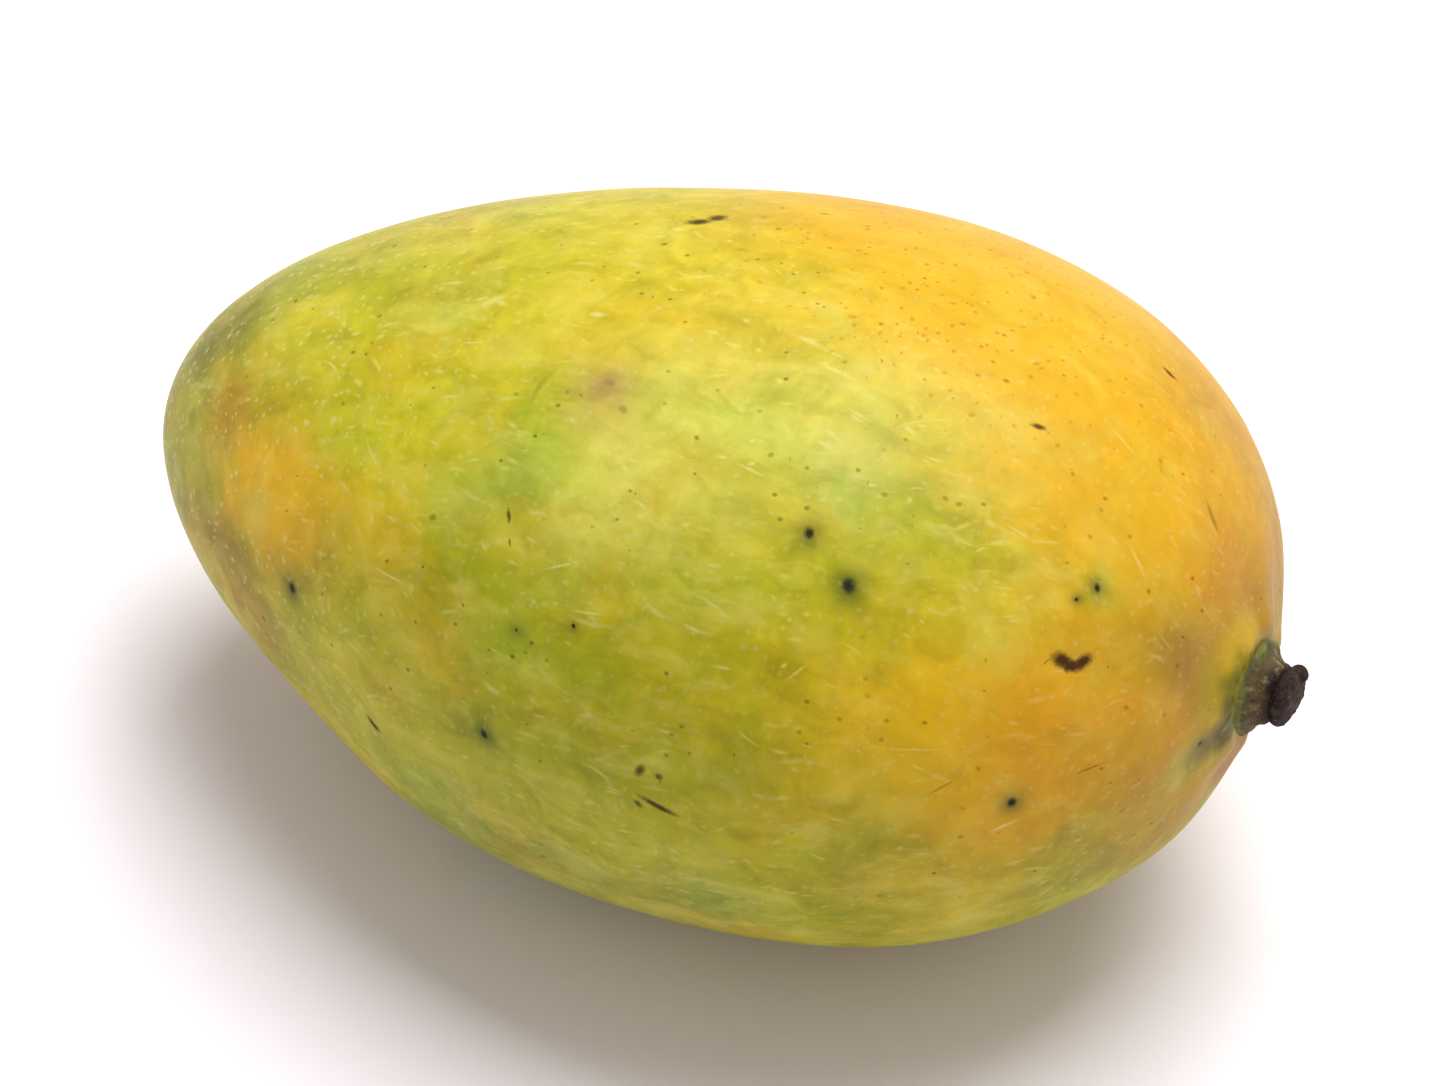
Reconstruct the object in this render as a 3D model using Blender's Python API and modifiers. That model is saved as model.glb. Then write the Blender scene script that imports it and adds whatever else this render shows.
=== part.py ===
"""A ripe mango lying on its flatter cheek, with the broken stub of its stalk.

Metres, +Z up. +X runs along the fruit from its narrow tip to the stalk, +Y to the side of the beak, and the
origin is at the middle of the bounding box's base. Shapes are worked out in the fruit's own frame, whose
origin is the middle of the fruit, and an empty then tips them to how the fruit rests.
"""

import math

import bmesh
import bpy
from mathutils import Matrix, Vector

# Fruit: sizes over all.
FRUIT_LENGTH = 0.120
FRUIT_WIDTH = 0.080
FRUIT_THICKNESS = 0.072
EGG_TAPER = 0.215
AXIS_BEND = 0.0029
REST_PITCH = math.radians(5.2)
REST_SPOT_DEPTH = 0.0005

# Fruit: broad low waves that keep the skin from being a perfect egg.
# Each wave: turns round the axis, turns from end to end, phase, share of the height.
SWELL_HEIGHT = 0.00035
SWELLS = ((2.0, 1.9, 0.6, 0.55), (3.0, -2.7, 2.1, 0.45), (1.0, 5.0, 1.97, 0.40))

# Fruit: low forms on the skin. Each form: degrees from the stalk end, degrees round the axis from +Y
# towards +Z, height, spread.
BEAK = (153.0, 0.0, 0.0012, 0.0060)
SINUS = (122.0, 0.0, -0.0009, 0.0110)
FRONT_CHEEK = (108.0, -143.0, 0.0008, 0.0150)
FRONT_HOLLOW = (78.0, -147.0, -0.0005, 0.0130)
TIP_HOLLOW = (126.0, -166.0, -0.0005, 0.0120)
STEM_CHEEK = (28.0, -112.0, 0.0008, 0.0100)
LOW_FORMS = (BEAK, SINUS, FRONT_CHEEK, FRONT_HOLLOW, TIP_HOLLOW, STEM_CHEEK)

# Fruit: the skin round the stalk. Each pucker wave: ridges round the stalk, phase, share of the height.
MOAT_DEPTH = 0.0003
MOAT_RADIUS = 0.0125
MOAT_SPREAD = 0.0050
LIP_HEIGHT = 0.0003
LIP_RADIUS = 0.0064
LIP_SPREAD = 0.0018
PUCKER_HEIGHT = 0.00018
PUCKER_REACH = 0.0150
PUCKERS = ((7.0, 0.0, 1.0), (4.0, 1.3, 0.6))

# Fruit: mesh.
FRUIT_SEGMENTS = 80
FRUIT_RINGS = 56
STEM_END_CROWDING = 0.45

# Stalk stub: a scurfy collar that stands in the skin, and the dark broken end above it.
STALK_SIDE_STEP = -0.0008
STALK_DROP = -0.0034
STALK_LEAN_SIDE = math.radians(-4.0)
STALK_LEAN_UP = math.radians(3.0)
STALK_CURL = 0.17
ROOT_DEPTH = 0.0030
ROOT_RADIUS = 0.0037
COLLAR_RADIUS = 0.0051
COLLAR_HEIGHT = 0.0027
NECK_RADIUS = 0.0031
GROOVE_DEPTH = 0.0004
END_RADIUS = 0.0031
END_HEIGHT = 0.0018
END_DISH = 0.0002
STALK_STEPS = 36
# Each ring of the dark end: share of its radius, share of its height above the collar.
END_RINGS = ((0.62, 0.83), (0.86, 1.0), (1.0, 0.75), (1.03, 0.4))
# Each ring of the collar's flare: share of the way from the neck's radius to the collar's, share of its
# height.
FLARE_RINGS = ((0.22, 0.68), (0.56, 0.42), (0.92, 0.18))
# Each wave of the stub's uneven outline: corners round it, twist for each metre of height, phase, share.
STALK_LUMP = 0.045
LUMPS = ((3.0, 0.0, 0.8, 1.0), (5.0, -420.0, 0.0, 0.6), (8.0, 900.0, 0.0, 0.4))
KNOB_RADIUS = 0.00085
KNOB_STRETCH = 1.20
KNOB_ANGLE = math.radians(52.0)
KNOB_OFFSET = 0.0026
KNOB_RISE = 0.0040
SOCKET_GAP = 0.0003
SOCKET_REACH = 0.0060

MERGE_DISTANCE = 0.00001


def clear_scene():
    """Removes every object, so that the script starts from nothing."""
    for old in list(bpy.data.objects):
        bpy.data.objects.remove(old, do_unlink=True)


def collection(name):
    """A new collection in the scene."""
    made = bpy.data.collections.new(name)
    bpy.context.scene.collection.children.link(made)
    return made


def material(name, colour, roughness):
    """A Principled material with one colour."""
    made = bpy.data.materials.new(name)
    made.use_nodes = True
    shader = made.node_tree.nodes["Principled BSDF"]
    shader.inputs["Base Color"].default_value = (*colour, 1.0)
    shader.inputs["Roughness"].default_value = roughness
    shader.inputs["Metallic"].default_value = 0.0
    return made


def bell(distance, spread):
    """A smooth bump: 1 at no distance, falling away over the spread."""
    return math.exp(-((distance / spread) ** 2))


def smooth_step(value):
    """0 below 0, 1 above 1, and an S between them."""
    t = min(max(value, 0.0), 1.0)
    return t * t * (3.0 - 2.0 * t)


def ring_share(theta):
    """How wide the fruit is at this angle from its stalk end, as a share of its widest place."""
    widest = math.acos(
        (math.sqrt(1.0 + 8.0 * EGG_TAPER**2) - 1.0) / (4.0 * EGG_TAPER)
    )
    top = math.sin(widest) * (1.0 + EGG_TAPER * math.cos(widest))
    return math.sin(theta) * (1.0 + EGG_TAPER * math.cos(theta)) / top


def plain_point(theta, psi):
    """The fruit's egg form, bent a little along its axis, with no relief."""
    ring = ring_share(theta)
    along = math.cos(theta)
    return Vector(
        (
            FRUIT_LENGTH / 2.0 * along,
            FRUIT_WIDTH / 2.0 * ring * math.cos(psi) + AXIS_BEND * along**2,
            FRUIT_THICKNESS / 2.0 * ring * math.sin(psi),
        )
    )


def plain_normal(theta, psi):
    """The outward normal of the plain form, from two short steps along it."""
    step = 0.001
    angle = min(max(theta, 2.0 * step), math.pi - 2.0 * step)
    down = plain_point(angle + step, psi) - plain_point(angle - step, psi)
    across = plain_point(angle, psi + step) - plain_point(angle, psi - step)
    return down.cross(across).normalized()


def stalk_seat():
    """Where the stalk's axis meets the plain form: a step off the pole, towards the fruit's back."""
    half_width = FRUIT_WIDTH / 2.0
    half_thickness = FRUIT_THICKNESS / 2.0
    psi = math.atan2(STALK_DROP / half_thickness, STALK_SIDE_STEP / half_width)
    reach = math.hypot(STALK_SIDE_STEP / half_width, STALK_DROP / half_thickness)
    theta = math.asin(reach / (1.0 + EGG_TAPER))
    return theta, psi


def stalk_matrix():
    """The stalk's frame in the fruit's: its own +Z points out of the fruit."""
    theta, psi = stalk_seat()
    lean = Matrix.Rotation(STALK_LEAN_SIDE, 3, "Z") @ Matrix.Rotation(-STALK_LEAN_UP, 3, "Y")
    out = lean @ plain_normal(theta, psi)
    turn = out.to_track_quat("Z", "Y").to_matrix().to_4x4()
    return Matrix.Translation(plain_point(theta, psi)) @ turn


def swells(theta, psi):
    """Broad low waves that keep the skin from being a perfect egg."""
    wave = sum(
        share * math.sin(around * psi + along * theta + phase)
        for around, along, phase, share in SWELLS
    )
    return SWELL_HEIGHT * math.sin(theta) * wave


def low_forms(point):
    """The beak by the tip, the sinus behind it, and the broad cheeks and hollows of the skin."""
    height = 0.0
    for theta, psi, rise, spread in LOW_FORMS:
        centre = plain_point(math.radians(theta), math.radians(psi))
        height += rise * bell((point - centre).length, spread)
    return height


def stem_end(point, to_stalk):
    """The shallow moat, raised lip and puckers round the stalk."""
    local = to_stalk @ point
    if local.z < -MOAT_RADIUS:
        return 0.0
    away = math.hypot(local.x, local.y)
    round_it = math.atan2(local.y, local.x)
    moat = -MOAT_DEPTH * bell(away - MOAT_RADIUS, MOAT_SPREAD)
    lip = LIP_HEIGHT * bell(away - LIP_RADIUS, LIP_SPREAD)
    fade = smooth_step((away - COLLAR_RADIUS) / LIP_SPREAD) * bell(away - LIP_RADIUS, PUCKER_REACH)
    wave = sum(share * math.cos(ridges * round_it + phase) for ridges, phase, share in PUCKERS)
    return moat + lip + PUCKER_HEIGHT * fade * wave


def skin_point(theta, psi, to_stalk):
    """A point of the finished skin."""
    point = plain_point(theta, psi)
    height = swells(theta, psi) + low_forms(point) + stem_end(point, to_stalk)
    return point + plain_normal(theta, psi) * height


def screwed(name, profile, steps, group):
    """A turned mesh from a profile of (radius, height) pairs that runs from the top down."""
    mesh = bpy.data.meshes.new(name)
    points = [(radius, 0.0, height) for radius, height in profile]
    edges = [(i, i + 1) for i in range(len(points) - 1)]
    mesh.from_pydata(points, edges, [])
    turned = bpy.data.objects.new(name, mesh)
    group.objects.link(turned)
    screw = turned.modifiers.new("turn", "SCREW")
    screw.axis = "Z"
    screw.steps = steps
    screw.render_steps = steps
    screw.use_merge_vertices = True
    screw.merge_threshold = MERGE_DISTANCE
    return turned


def settle(source, name, group):
    """Turns an object with modifiers into a plain mesh object of that name, and removes the first."""
    bpy.context.view_layer.update()
    seen = source.evaluated_get(bpy.context.evaluated_depsgraph_get())
    mesh = bpy.data.meshes.new_from_object(seen)
    plain = bpy.data.objects.new(name, mesh)
    group.objects.link(plain)
    plain.matrix_world = source.matrix_world.copy()
    bpy.data.objects.remove(source, do_unlink=True)
    return plain


def hide_cutter(cutter):
    """Marks an object as a cutter, which is never part of the model."""
    cutter.hide_render = True
    cutter.display_type = "WIRE"


def combine(target, tool, operation, group):
    """One Boolean between two objects, applied, with the tool removed."""
    hide_cutter(tool)
    modifier = target.modifiers.new("combine", "BOOLEAN")
    modifier.operation = operation
    modifier.solver = "EXACT"
    modifier.object = tool
    result = settle(target, target.name + "_plain", group)
    bpy.data.objects.remove(tool, do_unlink=True)
    return result


def fruit_body(group, to_stalk):
    """The whole fruit, before its resting spot and the stalk's socket are cut."""
    form = bmesh.new()
    bmesh.ops.create_uvsphere(form, u_segments=FRUIT_SEGMENTS, v_segments=FRUIT_RINGS, radius=1.0)
    for vertex in form.verts:
        even = math.acos(min(max(vertex.co.z, -1.0), 1.0))
        theta = even - STEM_END_CROWDING * math.sin(even) * math.cos(even / 2.0) ** 2
        psi = math.atan2(vertex.co.y, vertex.co.x)
        vertex.co = skin_point(theta, psi, to_stalk)
    mesh = bpy.data.meshes.new("fruit_body")
    form.to_mesh(mesh)
    form.free()
    body = bpy.data.objects.new("fruit_body", mesh)
    group.objects.link(body)
    return body


def cut_resting_spot(body):
    """Flattens the underside where the fruit's weight presses on the table."""
    down = Matrix.Rotation(REST_PITCH, 3, "Y") @ Vector((0.0, 0.0, -1.0))
    lowest = max(vertex.co.dot(down) for vertex in body.data.vertices)
    form = bmesh.new()
    form.from_mesh(body.data)
    cut = bmesh.ops.bisect_plane(
        form,
        geom=form.verts[:] + form.edges[:] + form.faces[:],
        dist=MERGE_DISTANCE / 10.0,
        plane_co=down * (lowest - REST_SPOT_DEPTH),
        plane_no=down,
        clear_outer=True,
    )
    rim = [item for item in cut["geom_cut"] if isinstance(item, bmesh.types.BMEdge)]
    bmesh.ops.contextual_create(form, geom=rim)
    bmesh.ops.recalc_face_normals(form, faces=form.faces[:])
    form.to_mesh(body.data)
    form.free()


def socket_cutter(group, matrix):
    """The plain hole in the skin that the stalk's root stands in."""
    slope = (COLLAR_RADIUS - ROOT_RADIUS) / ROOT_DEPTH
    mouth = COLLAR_RADIUS + SOCKET_GAP + slope * SOCKET_REACH
    floor = ROOT_RADIUS + SOCKET_GAP - slope * SOCKET_GAP
    profile = [
        (0.0, SOCKET_REACH),
        (mouth, SOCKET_REACH),
        (floor, -ROOT_DEPTH - SOCKET_GAP),
        (0.0, -ROOT_DEPTH - SOCKET_GAP),
    ]
    cutter = screwed("socket", profile, STALK_STEPS, group)
    cutter.matrix_world = matrix
    return cutter


def stalk_profile():
    """The stub from the middle of its broken end down to the middle of its root."""
    dark_end = [(END_RADIUS * out, COLLAR_HEIGHT + END_HEIGHT * up) for out, up in END_RINGS]
    flare = [
        (NECK_RADIUS + (COLLAR_RADIUS - NECK_RADIUS) * out, COLLAR_HEIGHT * up)
        for out, up in FLARE_RINGS
    ]
    middle = [(0.0, COLLAR_HEIGHT + END_HEIGHT - END_DISH)]
    groove = [(NECK_RADIUS - GROOVE_DEPTH, COLLAR_HEIGHT + GROOVE_DEPTH / 2.0)]
    neck = [(NECK_RADIUS, COLLAR_HEIGHT - GROOVE_DEPTH / 2.0)]
    root = [(COLLAR_RADIUS, 0.0), (ROOT_RADIUS, -ROOT_DEPTH), (0.0, -ROOT_DEPTH)]
    return middle + dark_end + groove + neck + flare + root


def roughen(stub):
    """Gives the turned stub its uneven, three-cornered outline above the skin, and its upward curl."""
    for vertex in stub.data.vertices:
        round_it = math.atan2(vertex.co.y, vertex.co.x)
        above = smooth_step(vertex.co.z / COLLAR_HEIGHT)
        lump = sum(
            share * math.cos(corners * round_it + twist * vertex.co.z + phase)
            for corners, twist, phase, share in LUMPS
        )
        swell = 1.0 + STALK_LUMP * above * lump
        vertex.co.x *= swell
        vertex.co.y *= swell
        vertex.co.y += STALK_CURL * max(vertex.co.z, 0.0)


def knob(group):
    """The small ear on the rim of the broken end, left by a side stalk."""
    form = bmesh.new()
    bmesh.ops.create_uvsphere(form, u_segments=16, v_segments=10, radius=KNOB_RADIUS)
    mesh = bpy.data.meshes.new("knob")
    form.to_mesh(mesh)
    form.free()
    ear = bpy.data.objects.new("knob", mesh)
    group.objects.link(ear)
    place = Vector((math.cos(KNOB_ANGLE) * KNOB_OFFSET, math.sin(KNOB_ANGLE) * KNOB_OFFSET, KNOB_RISE))
    stretch = Matrix.Diagonal((KNOB_STRETCH, 1.0, KNOB_STRETCH, 1.0))
    turn = Matrix.Rotation(KNOB_ANGLE, 4, "Z")
    mesh.transform(Matrix.Translation(place) @ turn @ stretch)
    return ear


def finish(part, name, finish_material, holder, smooth_angle):
    """Names, shades and places a finished part under the empty."""
    part.name = name
    part.data.name = name
    part.data.materials.clear()
    part.data.materials.append(finish_material)
    part.data.shade_smooth()
    part.data.set_sharp_from_angle(angle=smooth_angle)
    part.parent = holder


def centre_on_base(holder, parts):
    """Moves the empty so that the origin is at the middle of the bounding box's base."""
    bpy.context.view_layer.update()
    corners = [part.matrix_world @ vertex.co for part in parts for vertex in part.data.vertices]
    low = Vector([min(corner[i] for corner in corners) for i in range(3)])
    high = Vector([max(corner[i] for corner in corners) for i in range(3)])
    holder.location -= Vector(((low.x + high.x) / 2.0, (low.y + high.y) / 2.0, low.z))
    bpy.context.view_layer.update()


def build():
    """Makes the fruit and its stalk stub."""
    clear_scene()
    parts = collection("mango")
    cutters = collection("cutters")
    seat = stalk_matrix()
    to_stalk = seat.inverted()

    body = fruit_body(parts, to_stalk)
    cut_resting_spot(body)
    fruit = combine(body, socket_cutter(cutters, seat), "DIFFERENCE", parts)

    stub = settle(screwed("stub", stalk_profile(), STALK_STEPS, parts), "stub_plain", parts)
    roughen(stub)
    stalk = combine(stub, knob(cutters), "UNION", parts)
    stalk.data.transform(seat)

    holder = bpy.data.objects.new("mango_rest", None)
    parts.objects.link(holder)
    holder.rotation_euler = (0.0, -REST_PITCH, 0.0)
    skin = material("mango_skin", (0.58, 0.50, 0.05), 0.42)
    bark = material("stalk_bark", (0.055, 0.035, 0.022), 0.80)
    finish(fruit, "fruit", skin, holder, math.radians(40.0))
    finish(stalk, "stalk", bark, holder, math.radians(35.0))
    centre_on_base(holder, [fruit, stalk])


build()
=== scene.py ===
"""The looks of a ripe mango: its mottled waxy skin with every mark on it, and the scurfy stub of its stalk.

Metres, +Z up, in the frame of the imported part. The skin repeats the part's own form from the same driving
values, on a finer mesh. Marks that the photograph shows are given by their pixel there, and a ray from the
photograph's camera puts each one on the skin. The skin that the photograph doesn't show gets marks of the
same kinds from a seeded random draw.
"""

import math
import random

import bpy
import numpy as np
from mathutils import Matrix, Vector, noise
from mathutils.bvhtree import BVHTree
from mathutils.kdtree import KDTree


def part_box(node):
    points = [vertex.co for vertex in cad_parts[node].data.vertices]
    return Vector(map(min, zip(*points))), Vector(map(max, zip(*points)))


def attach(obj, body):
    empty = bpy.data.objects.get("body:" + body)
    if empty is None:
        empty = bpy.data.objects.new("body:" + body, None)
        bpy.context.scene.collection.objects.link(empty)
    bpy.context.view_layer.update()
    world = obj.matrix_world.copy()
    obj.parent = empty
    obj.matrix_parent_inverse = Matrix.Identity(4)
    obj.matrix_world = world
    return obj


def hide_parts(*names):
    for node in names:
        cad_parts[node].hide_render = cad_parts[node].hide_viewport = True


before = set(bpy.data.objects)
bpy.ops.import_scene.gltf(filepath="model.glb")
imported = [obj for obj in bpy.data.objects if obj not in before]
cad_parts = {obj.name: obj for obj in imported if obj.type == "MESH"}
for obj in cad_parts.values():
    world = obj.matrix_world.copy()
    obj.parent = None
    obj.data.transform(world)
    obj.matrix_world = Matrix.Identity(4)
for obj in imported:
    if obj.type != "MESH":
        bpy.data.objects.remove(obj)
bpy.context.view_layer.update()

MM = 0.001

# The fruit's form, with the part's own values.
FRUIT_LENGTH = 0.120
FRUIT_WIDTH = 0.080
FRUIT_THICKNESS = 0.072
EGG_TAPER = 0.215
AXIS_BEND = 0.0029
REST_PITCH = math.radians(5.2)
SWELL_HEIGHT = 0.00035
SWELLS = ((2.0, 1.9, 0.6, 0.55), (3.0, -2.7, 2.1, 0.45), (1.0, 5.0, 1.97, 0.40))
BEAK = (153.0, 0.0, 0.0012, 0.0060)
SINUS = (122.0, 0.0, -0.0009, 0.0110)
FRONT_CHEEK = (108.0, -143.0, 0.0008, 0.0150)
FRONT_HOLLOW = (78.0, -147.0, -0.0005, 0.0130)
TIP_HOLLOW = (126.0, -166.0, -0.0005, 0.0120)
STEM_CHEEK = (28.0, -112.0, 0.0008, 0.0100)
LOW_FORMS = (BEAK, SINUS, FRONT_CHEEK, FRONT_HOLLOW, TIP_HOLLOW, STEM_CHEEK)
MOAT_DEPTH = 0.0003
MOAT_RADIUS = 0.0125
MOAT_SPREAD = 0.0050
LIP_HEIGHT = 0.0003
LIP_RADIUS = 0.0064
LIP_SPREAD = 0.0018
PUCKER_HEIGHT = 0.00018
PUCKER_REACH = 0.0150
PUCKERS = ((7.0, 0.0, 1.0), (4.0, 1.3, 0.6))
STEM_END_CROWDING = 0.45

# The stalk stub's form, with the part's own values.
STALK_SIDE_STEP = -0.0008
STALK_DROP = -0.0034
STALK_LEAN_SIDE = math.radians(-4.0)
STALK_LEAN_UP = math.radians(3.0)
STALK_CURL = 0.17
COLLAR_RADIUS = 0.0051
COLLAR_HEIGHT = 0.0027
NECK_RADIUS = 0.0031
GROOVE_DEPTH = 0.0004
END_RADIUS = 0.0031
END_HEIGHT = 0.0018
STALK_LUMP = 0.045
LUMPS = ((3.0, 0.0, 0.8, 1.0), (5.0, -420.0, 0.0, 0.6), (8.0, 900.0, 0.0, 0.4))
KNOB_RADIUS = 0.00085
KNOB_STRETCH = 1.20
KNOB_ANGLE = math.radians(52.0)
KNOB_OFFSET = 0.0026
KNOB_RISE = 0.0040

# The photograph's camera, fitted to the fruit's outline in the 1448 x 1086 picture.
PHOTO_WIDTH = 1448
CAMERA_AZIMUTH = math.radians(23.21)
CAMERA_ELEVATION = math.radians(47.0)
CAMERA_DISTANCE = 1.400
PIXELS_PER_METRE = 5184.8
AIM_POINT = Vector((0.0, 0.0, 0.036))
AIM_PIXEL = (1025.4, 828.3)
FRAME_ZOOM = 1.9
SENSOR_WIDTH = 36.0


def srgb(text):
    """A colour written as rrggbb, in linear light."""
    values = [int(text[i : i + 2], 16) / 255.0 for i in (0, 2, 4)]
    return np.array([v / 12.92 if v <= 0.04045 else ((v + 0.055) / 1.055) ** 2.4 for v in values])


def bell(distance, spread):
    """A smooth bump: 1 at no distance, falling away over the spread."""
    return np.exp(-((distance / spread) ** 2))


def smooth_step(value):
    """0 below 0, 1 above 1, and an S between them."""
    t = np.clip(value, 0.0, 1.0)
    return t * t * (3.0 - 2.0 * t)


def along_rows(vectors):
    """The length of each row."""
    return np.linalg.norm(vectors, axis=-1)


def add_object(name, data):
    """A new object in the scene."""
    made = bpy.data.objects.new(name, data)
    bpy.context.scene.collection.objects.link(made)
    return made


def store_values(mesh, **attributes):
    """Writes attributes of one number a point into the mesh."""
    for name, values in attributes.items():
        mesh.attributes.new(name, "FLOAT", "POINT").data.foreach_set("value", values)


# The skin's form.


def plain_points(theta, psi):
    """Points of the fruit's egg form, bent a little along its axis."""
    widest = math.acos((math.sqrt(1.0 + 8.0 * EGG_TAPER**2) - 1.0) / (4.0 * EGG_TAPER))
    top = math.sin(widest) * (1.0 + EGG_TAPER * math.cos(widest))
    ring = np.sin(theta) * (1.0 + EGG_TAPER * np.cos(theta)) / top
    along = np.cos(theta)
    x = FRUIT_LENGTH / 2.0 * along
    y = FRUIT_WIDTH / 2.0 * ring * np.cos(psi) + AXIS_BEND * along**2
    z = FRUIT_THICKNESS / 2.0 * ring * np.sin(psi)
    return np.stack([x, y, z], axis=-1)


def plain_point(degrees_along, degrees_round):
    """One point of the egg form."""
    return plain_points(np.array(math.radians(degrees_along)), np.array(math.radians(degrees_round)))


def plain_normals(theta, psi):
    """Outward normals of the egg form, from two short steps along it."""
    step = 0.001
    angle = np.clip(theta, 2.0 * step, math.pi - 2.0 * step)
    down = plain_points(angle + step, psi) - plain_points(angle - step, psi)
    across = plain_points(angle, psi + step) - plain_points(angle, psi - step)
    normal = np.cross(down, across)
    return normal / along_rows(normal)[..., None]


def stalk_matrix():
    """The stalk's frame in the fruit's: its own +Z points out of the fruit."""
    half_width = FRUIT_WIDTH / 2.0
    half_thickness = FRUIT_THICKNESS / 2.0
    psi = math.atan2(STALK_DROP / half_thickness, STALK_SIDE_STEP / half_width)
    reach = math.hypot(STALK_SIDE_STEP / half_width, STALK_DROP / half_thickness)
    theta = math.asin(reach / (1.0 + EGG_TAPER))
    lean = Matrix.Rotation(STALK_LEAN_SIDE, 3, "Z") @ Matrix.Rotation(-STALK_LEAN_UP, 3, "Y")
    out = lean @ Vector(plain_normals(np.array(theta), np.array(psi)))
    turn = out.to_track_quat("Z", "Y").to_matrix().to_4x4()
    return Matrix.Translation(Vector(plain_points(np.array(theta), np.array(psi)))) @ turn


def transform(matrix, points):
    """The points moved by a 4 x 4 matrix."""
    numbers = np.array(matrix)
    return points @ numbers[:3, :3].T + numbers[:3, 3]


def swells(theta, psi):
    """Broad low waves that keep the skin from being a perfect egg."""
    wave = sum(part * np.sin(around * psi + along * theta + phase) for around, along, phase, part in SWELLS)
    return SWELL_HEIGHT * np.sin(theta) * wave


def low_forms(points):
    """The beak by the tip, the sinus behind it, and the broad cheeks and hollows."""
    height = np.zeros(len(points))
    for theta, psi, rise, spread in LOW_FORMS:
        height += rise * bell(along_rows(points - plain_point(theta, psi)), spread)
    return height


# Finer relief round the stalk than the part's solid has.
CREASE_DEPTH = 0.00014
CREASE_SPREAD = 0.0007
WRINKLE_HEIGHT = 0.00003
WRINKLE_REACH = 0.0040
WRINKLES = ((17.0, 0.4, 1.0), (29.0, 2.2, 0.5))
# Each ridge runs out from the stalk: degrees round it, height, half width in degrees, reach.
STEM_RIDGES = ((-100.0, -0.00016, 18.0, 0.006),)


def stem_end(points, to_stalk):
    """The moat, lip, puckers, ridges and fine wrinkles of the skin round the stalk."""
    local = transform(to_stalk, points)
    away = np.hypot(local[:, 0], local[:, 1])
    round_it = np.arctan2(local[:, 1], local[:, 0])
    height = -MOAT_DEPTH * bell(away - MOAT_RADIUS, MOAT_SPREAD)
    height += LIP_HEIGHT * bell(away - LIP_RADIUS, LIP_SPREAD)
    rise = smooth_step((away - COLLAR_RADIUS) / LIP_SPREAD)
    folds = ((PUCKER_HEIGHT, PUCKER_REACH, PUCKERS), (WRINKLE_HEIGHT, WRINKLE_REACH, WRINKLES))
    for tall, reach, waves in folds:
        fade = rise * bell(away - LIP_RADIUS, reach)
        height += tall * fade * sum(part * np.cos(n * round_it + phase) for n, phase, part in waves)
    for degrees, ridge_height, half_width, reach in STEM_RIDGES:
        turn = np.degrees(np.angle(np.exp(1j * (round_it - math.radians(degrees)))))
        height += ridge_height * bell(turn, half_width) * rise * bell(away - LIP_RADIUS, reach)
    height -= CREASE_DEPTH * bell(away - COLLAR_RADIUS, CREASE_SPREAD)
    return np.where(local[:, 2] < -MOAT_RADIUS, 0.0, height)


# The skin's mesh: six square grids that meet as a ball, bent to the fruit's form.
GRID = 128
TEXTURE_MARGIN = 0.012


def ball_grid():
    """Directions, quads and each quad's texture corners of a ball made of six grids."""
    steps = np.tan(np.linspace(-1.0, 1.0, GRID + 1) * math.pi / 4.0)
    unit = np.linspace(0.0, 1.0, GRID + 1)
    u, v = np.meshgrid(steps, steps, indexing="ij")
    texture_u, texture_v = np.meshgrid(unit, unit, indexing="ij")
    sides = []
    for axis in range(3):
        for sign in (1.0, -1.0):
            out = np.zeros(3)
            out[axis] = sign
            right = np.zeros(3)
            right[(axis + 1) % 3] = 1.0
            up = np.cross(out, right)
            side = out + u[..., None] * right + v[..., None] * up
            sides.append(side.reshape(-1, 3))
    directions = np.concatenate(sides)
    directions /= along_rows(directions)[:, None]
    first = np.arange(GRID + 1)[:-1, None] * (GRID + 1) + np.arange(GRID)[None, :]
    quad = np.stack([first, first + GRID + 1, first + GRID + 2, first + 1], axis=-1).reshape(-1, 4)
    quads = np.concatenate([quad + side * (GRID + 1) ** 2 for side in range(6)])
    cells = np.stack([texture_u.ravel(), texture_v.ravel()], axis=-1)
    cells = TEXTURE_MARGIN + cells * (1.0 - 2.0 * TEXTURE_MARGIN)
    columns, rows = 3, 2
    corners = [(cells + (side % columns, side // columns)) / (columns, rows) for side in range(6)]
    texture = np.concatenate(corners)
    merged, index = np.unique(np.round(directions, 7), axis=0, return_inverse=True)
    return merged, index.reshape(-1)[quads], texture[quads]


def make_mesh(name, points, faces):
    """A smooth mesh object from points and a list of faces."""
    mesh = bpy.data.meshes.new(name)
    mesh.from_pydata(points.tolist(), [], faces)
    mesh.shade_smooth()
    return add_object(name, mesh)


# Without this the noise module takes its seed from the clock, and every run gives another unevenness.
NOISE_SEED = 1
noise.seed_set(NOISE_SEED)


def drift(points, size, seed):
    """Three smooth random numbers for each point, between about -1 and 1, that change over the size."""
    offset = Vector((seed * 7.31, seed * 3.17, seed * 5.53))
    return np.array([noise.noise_vector(Vector(p) / size + offset) for p in points])


# Unevenness of the skin: size across, height.
UNEVEN = ((0.0110, 0.00010), (0.0045, 0.00003))


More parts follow.
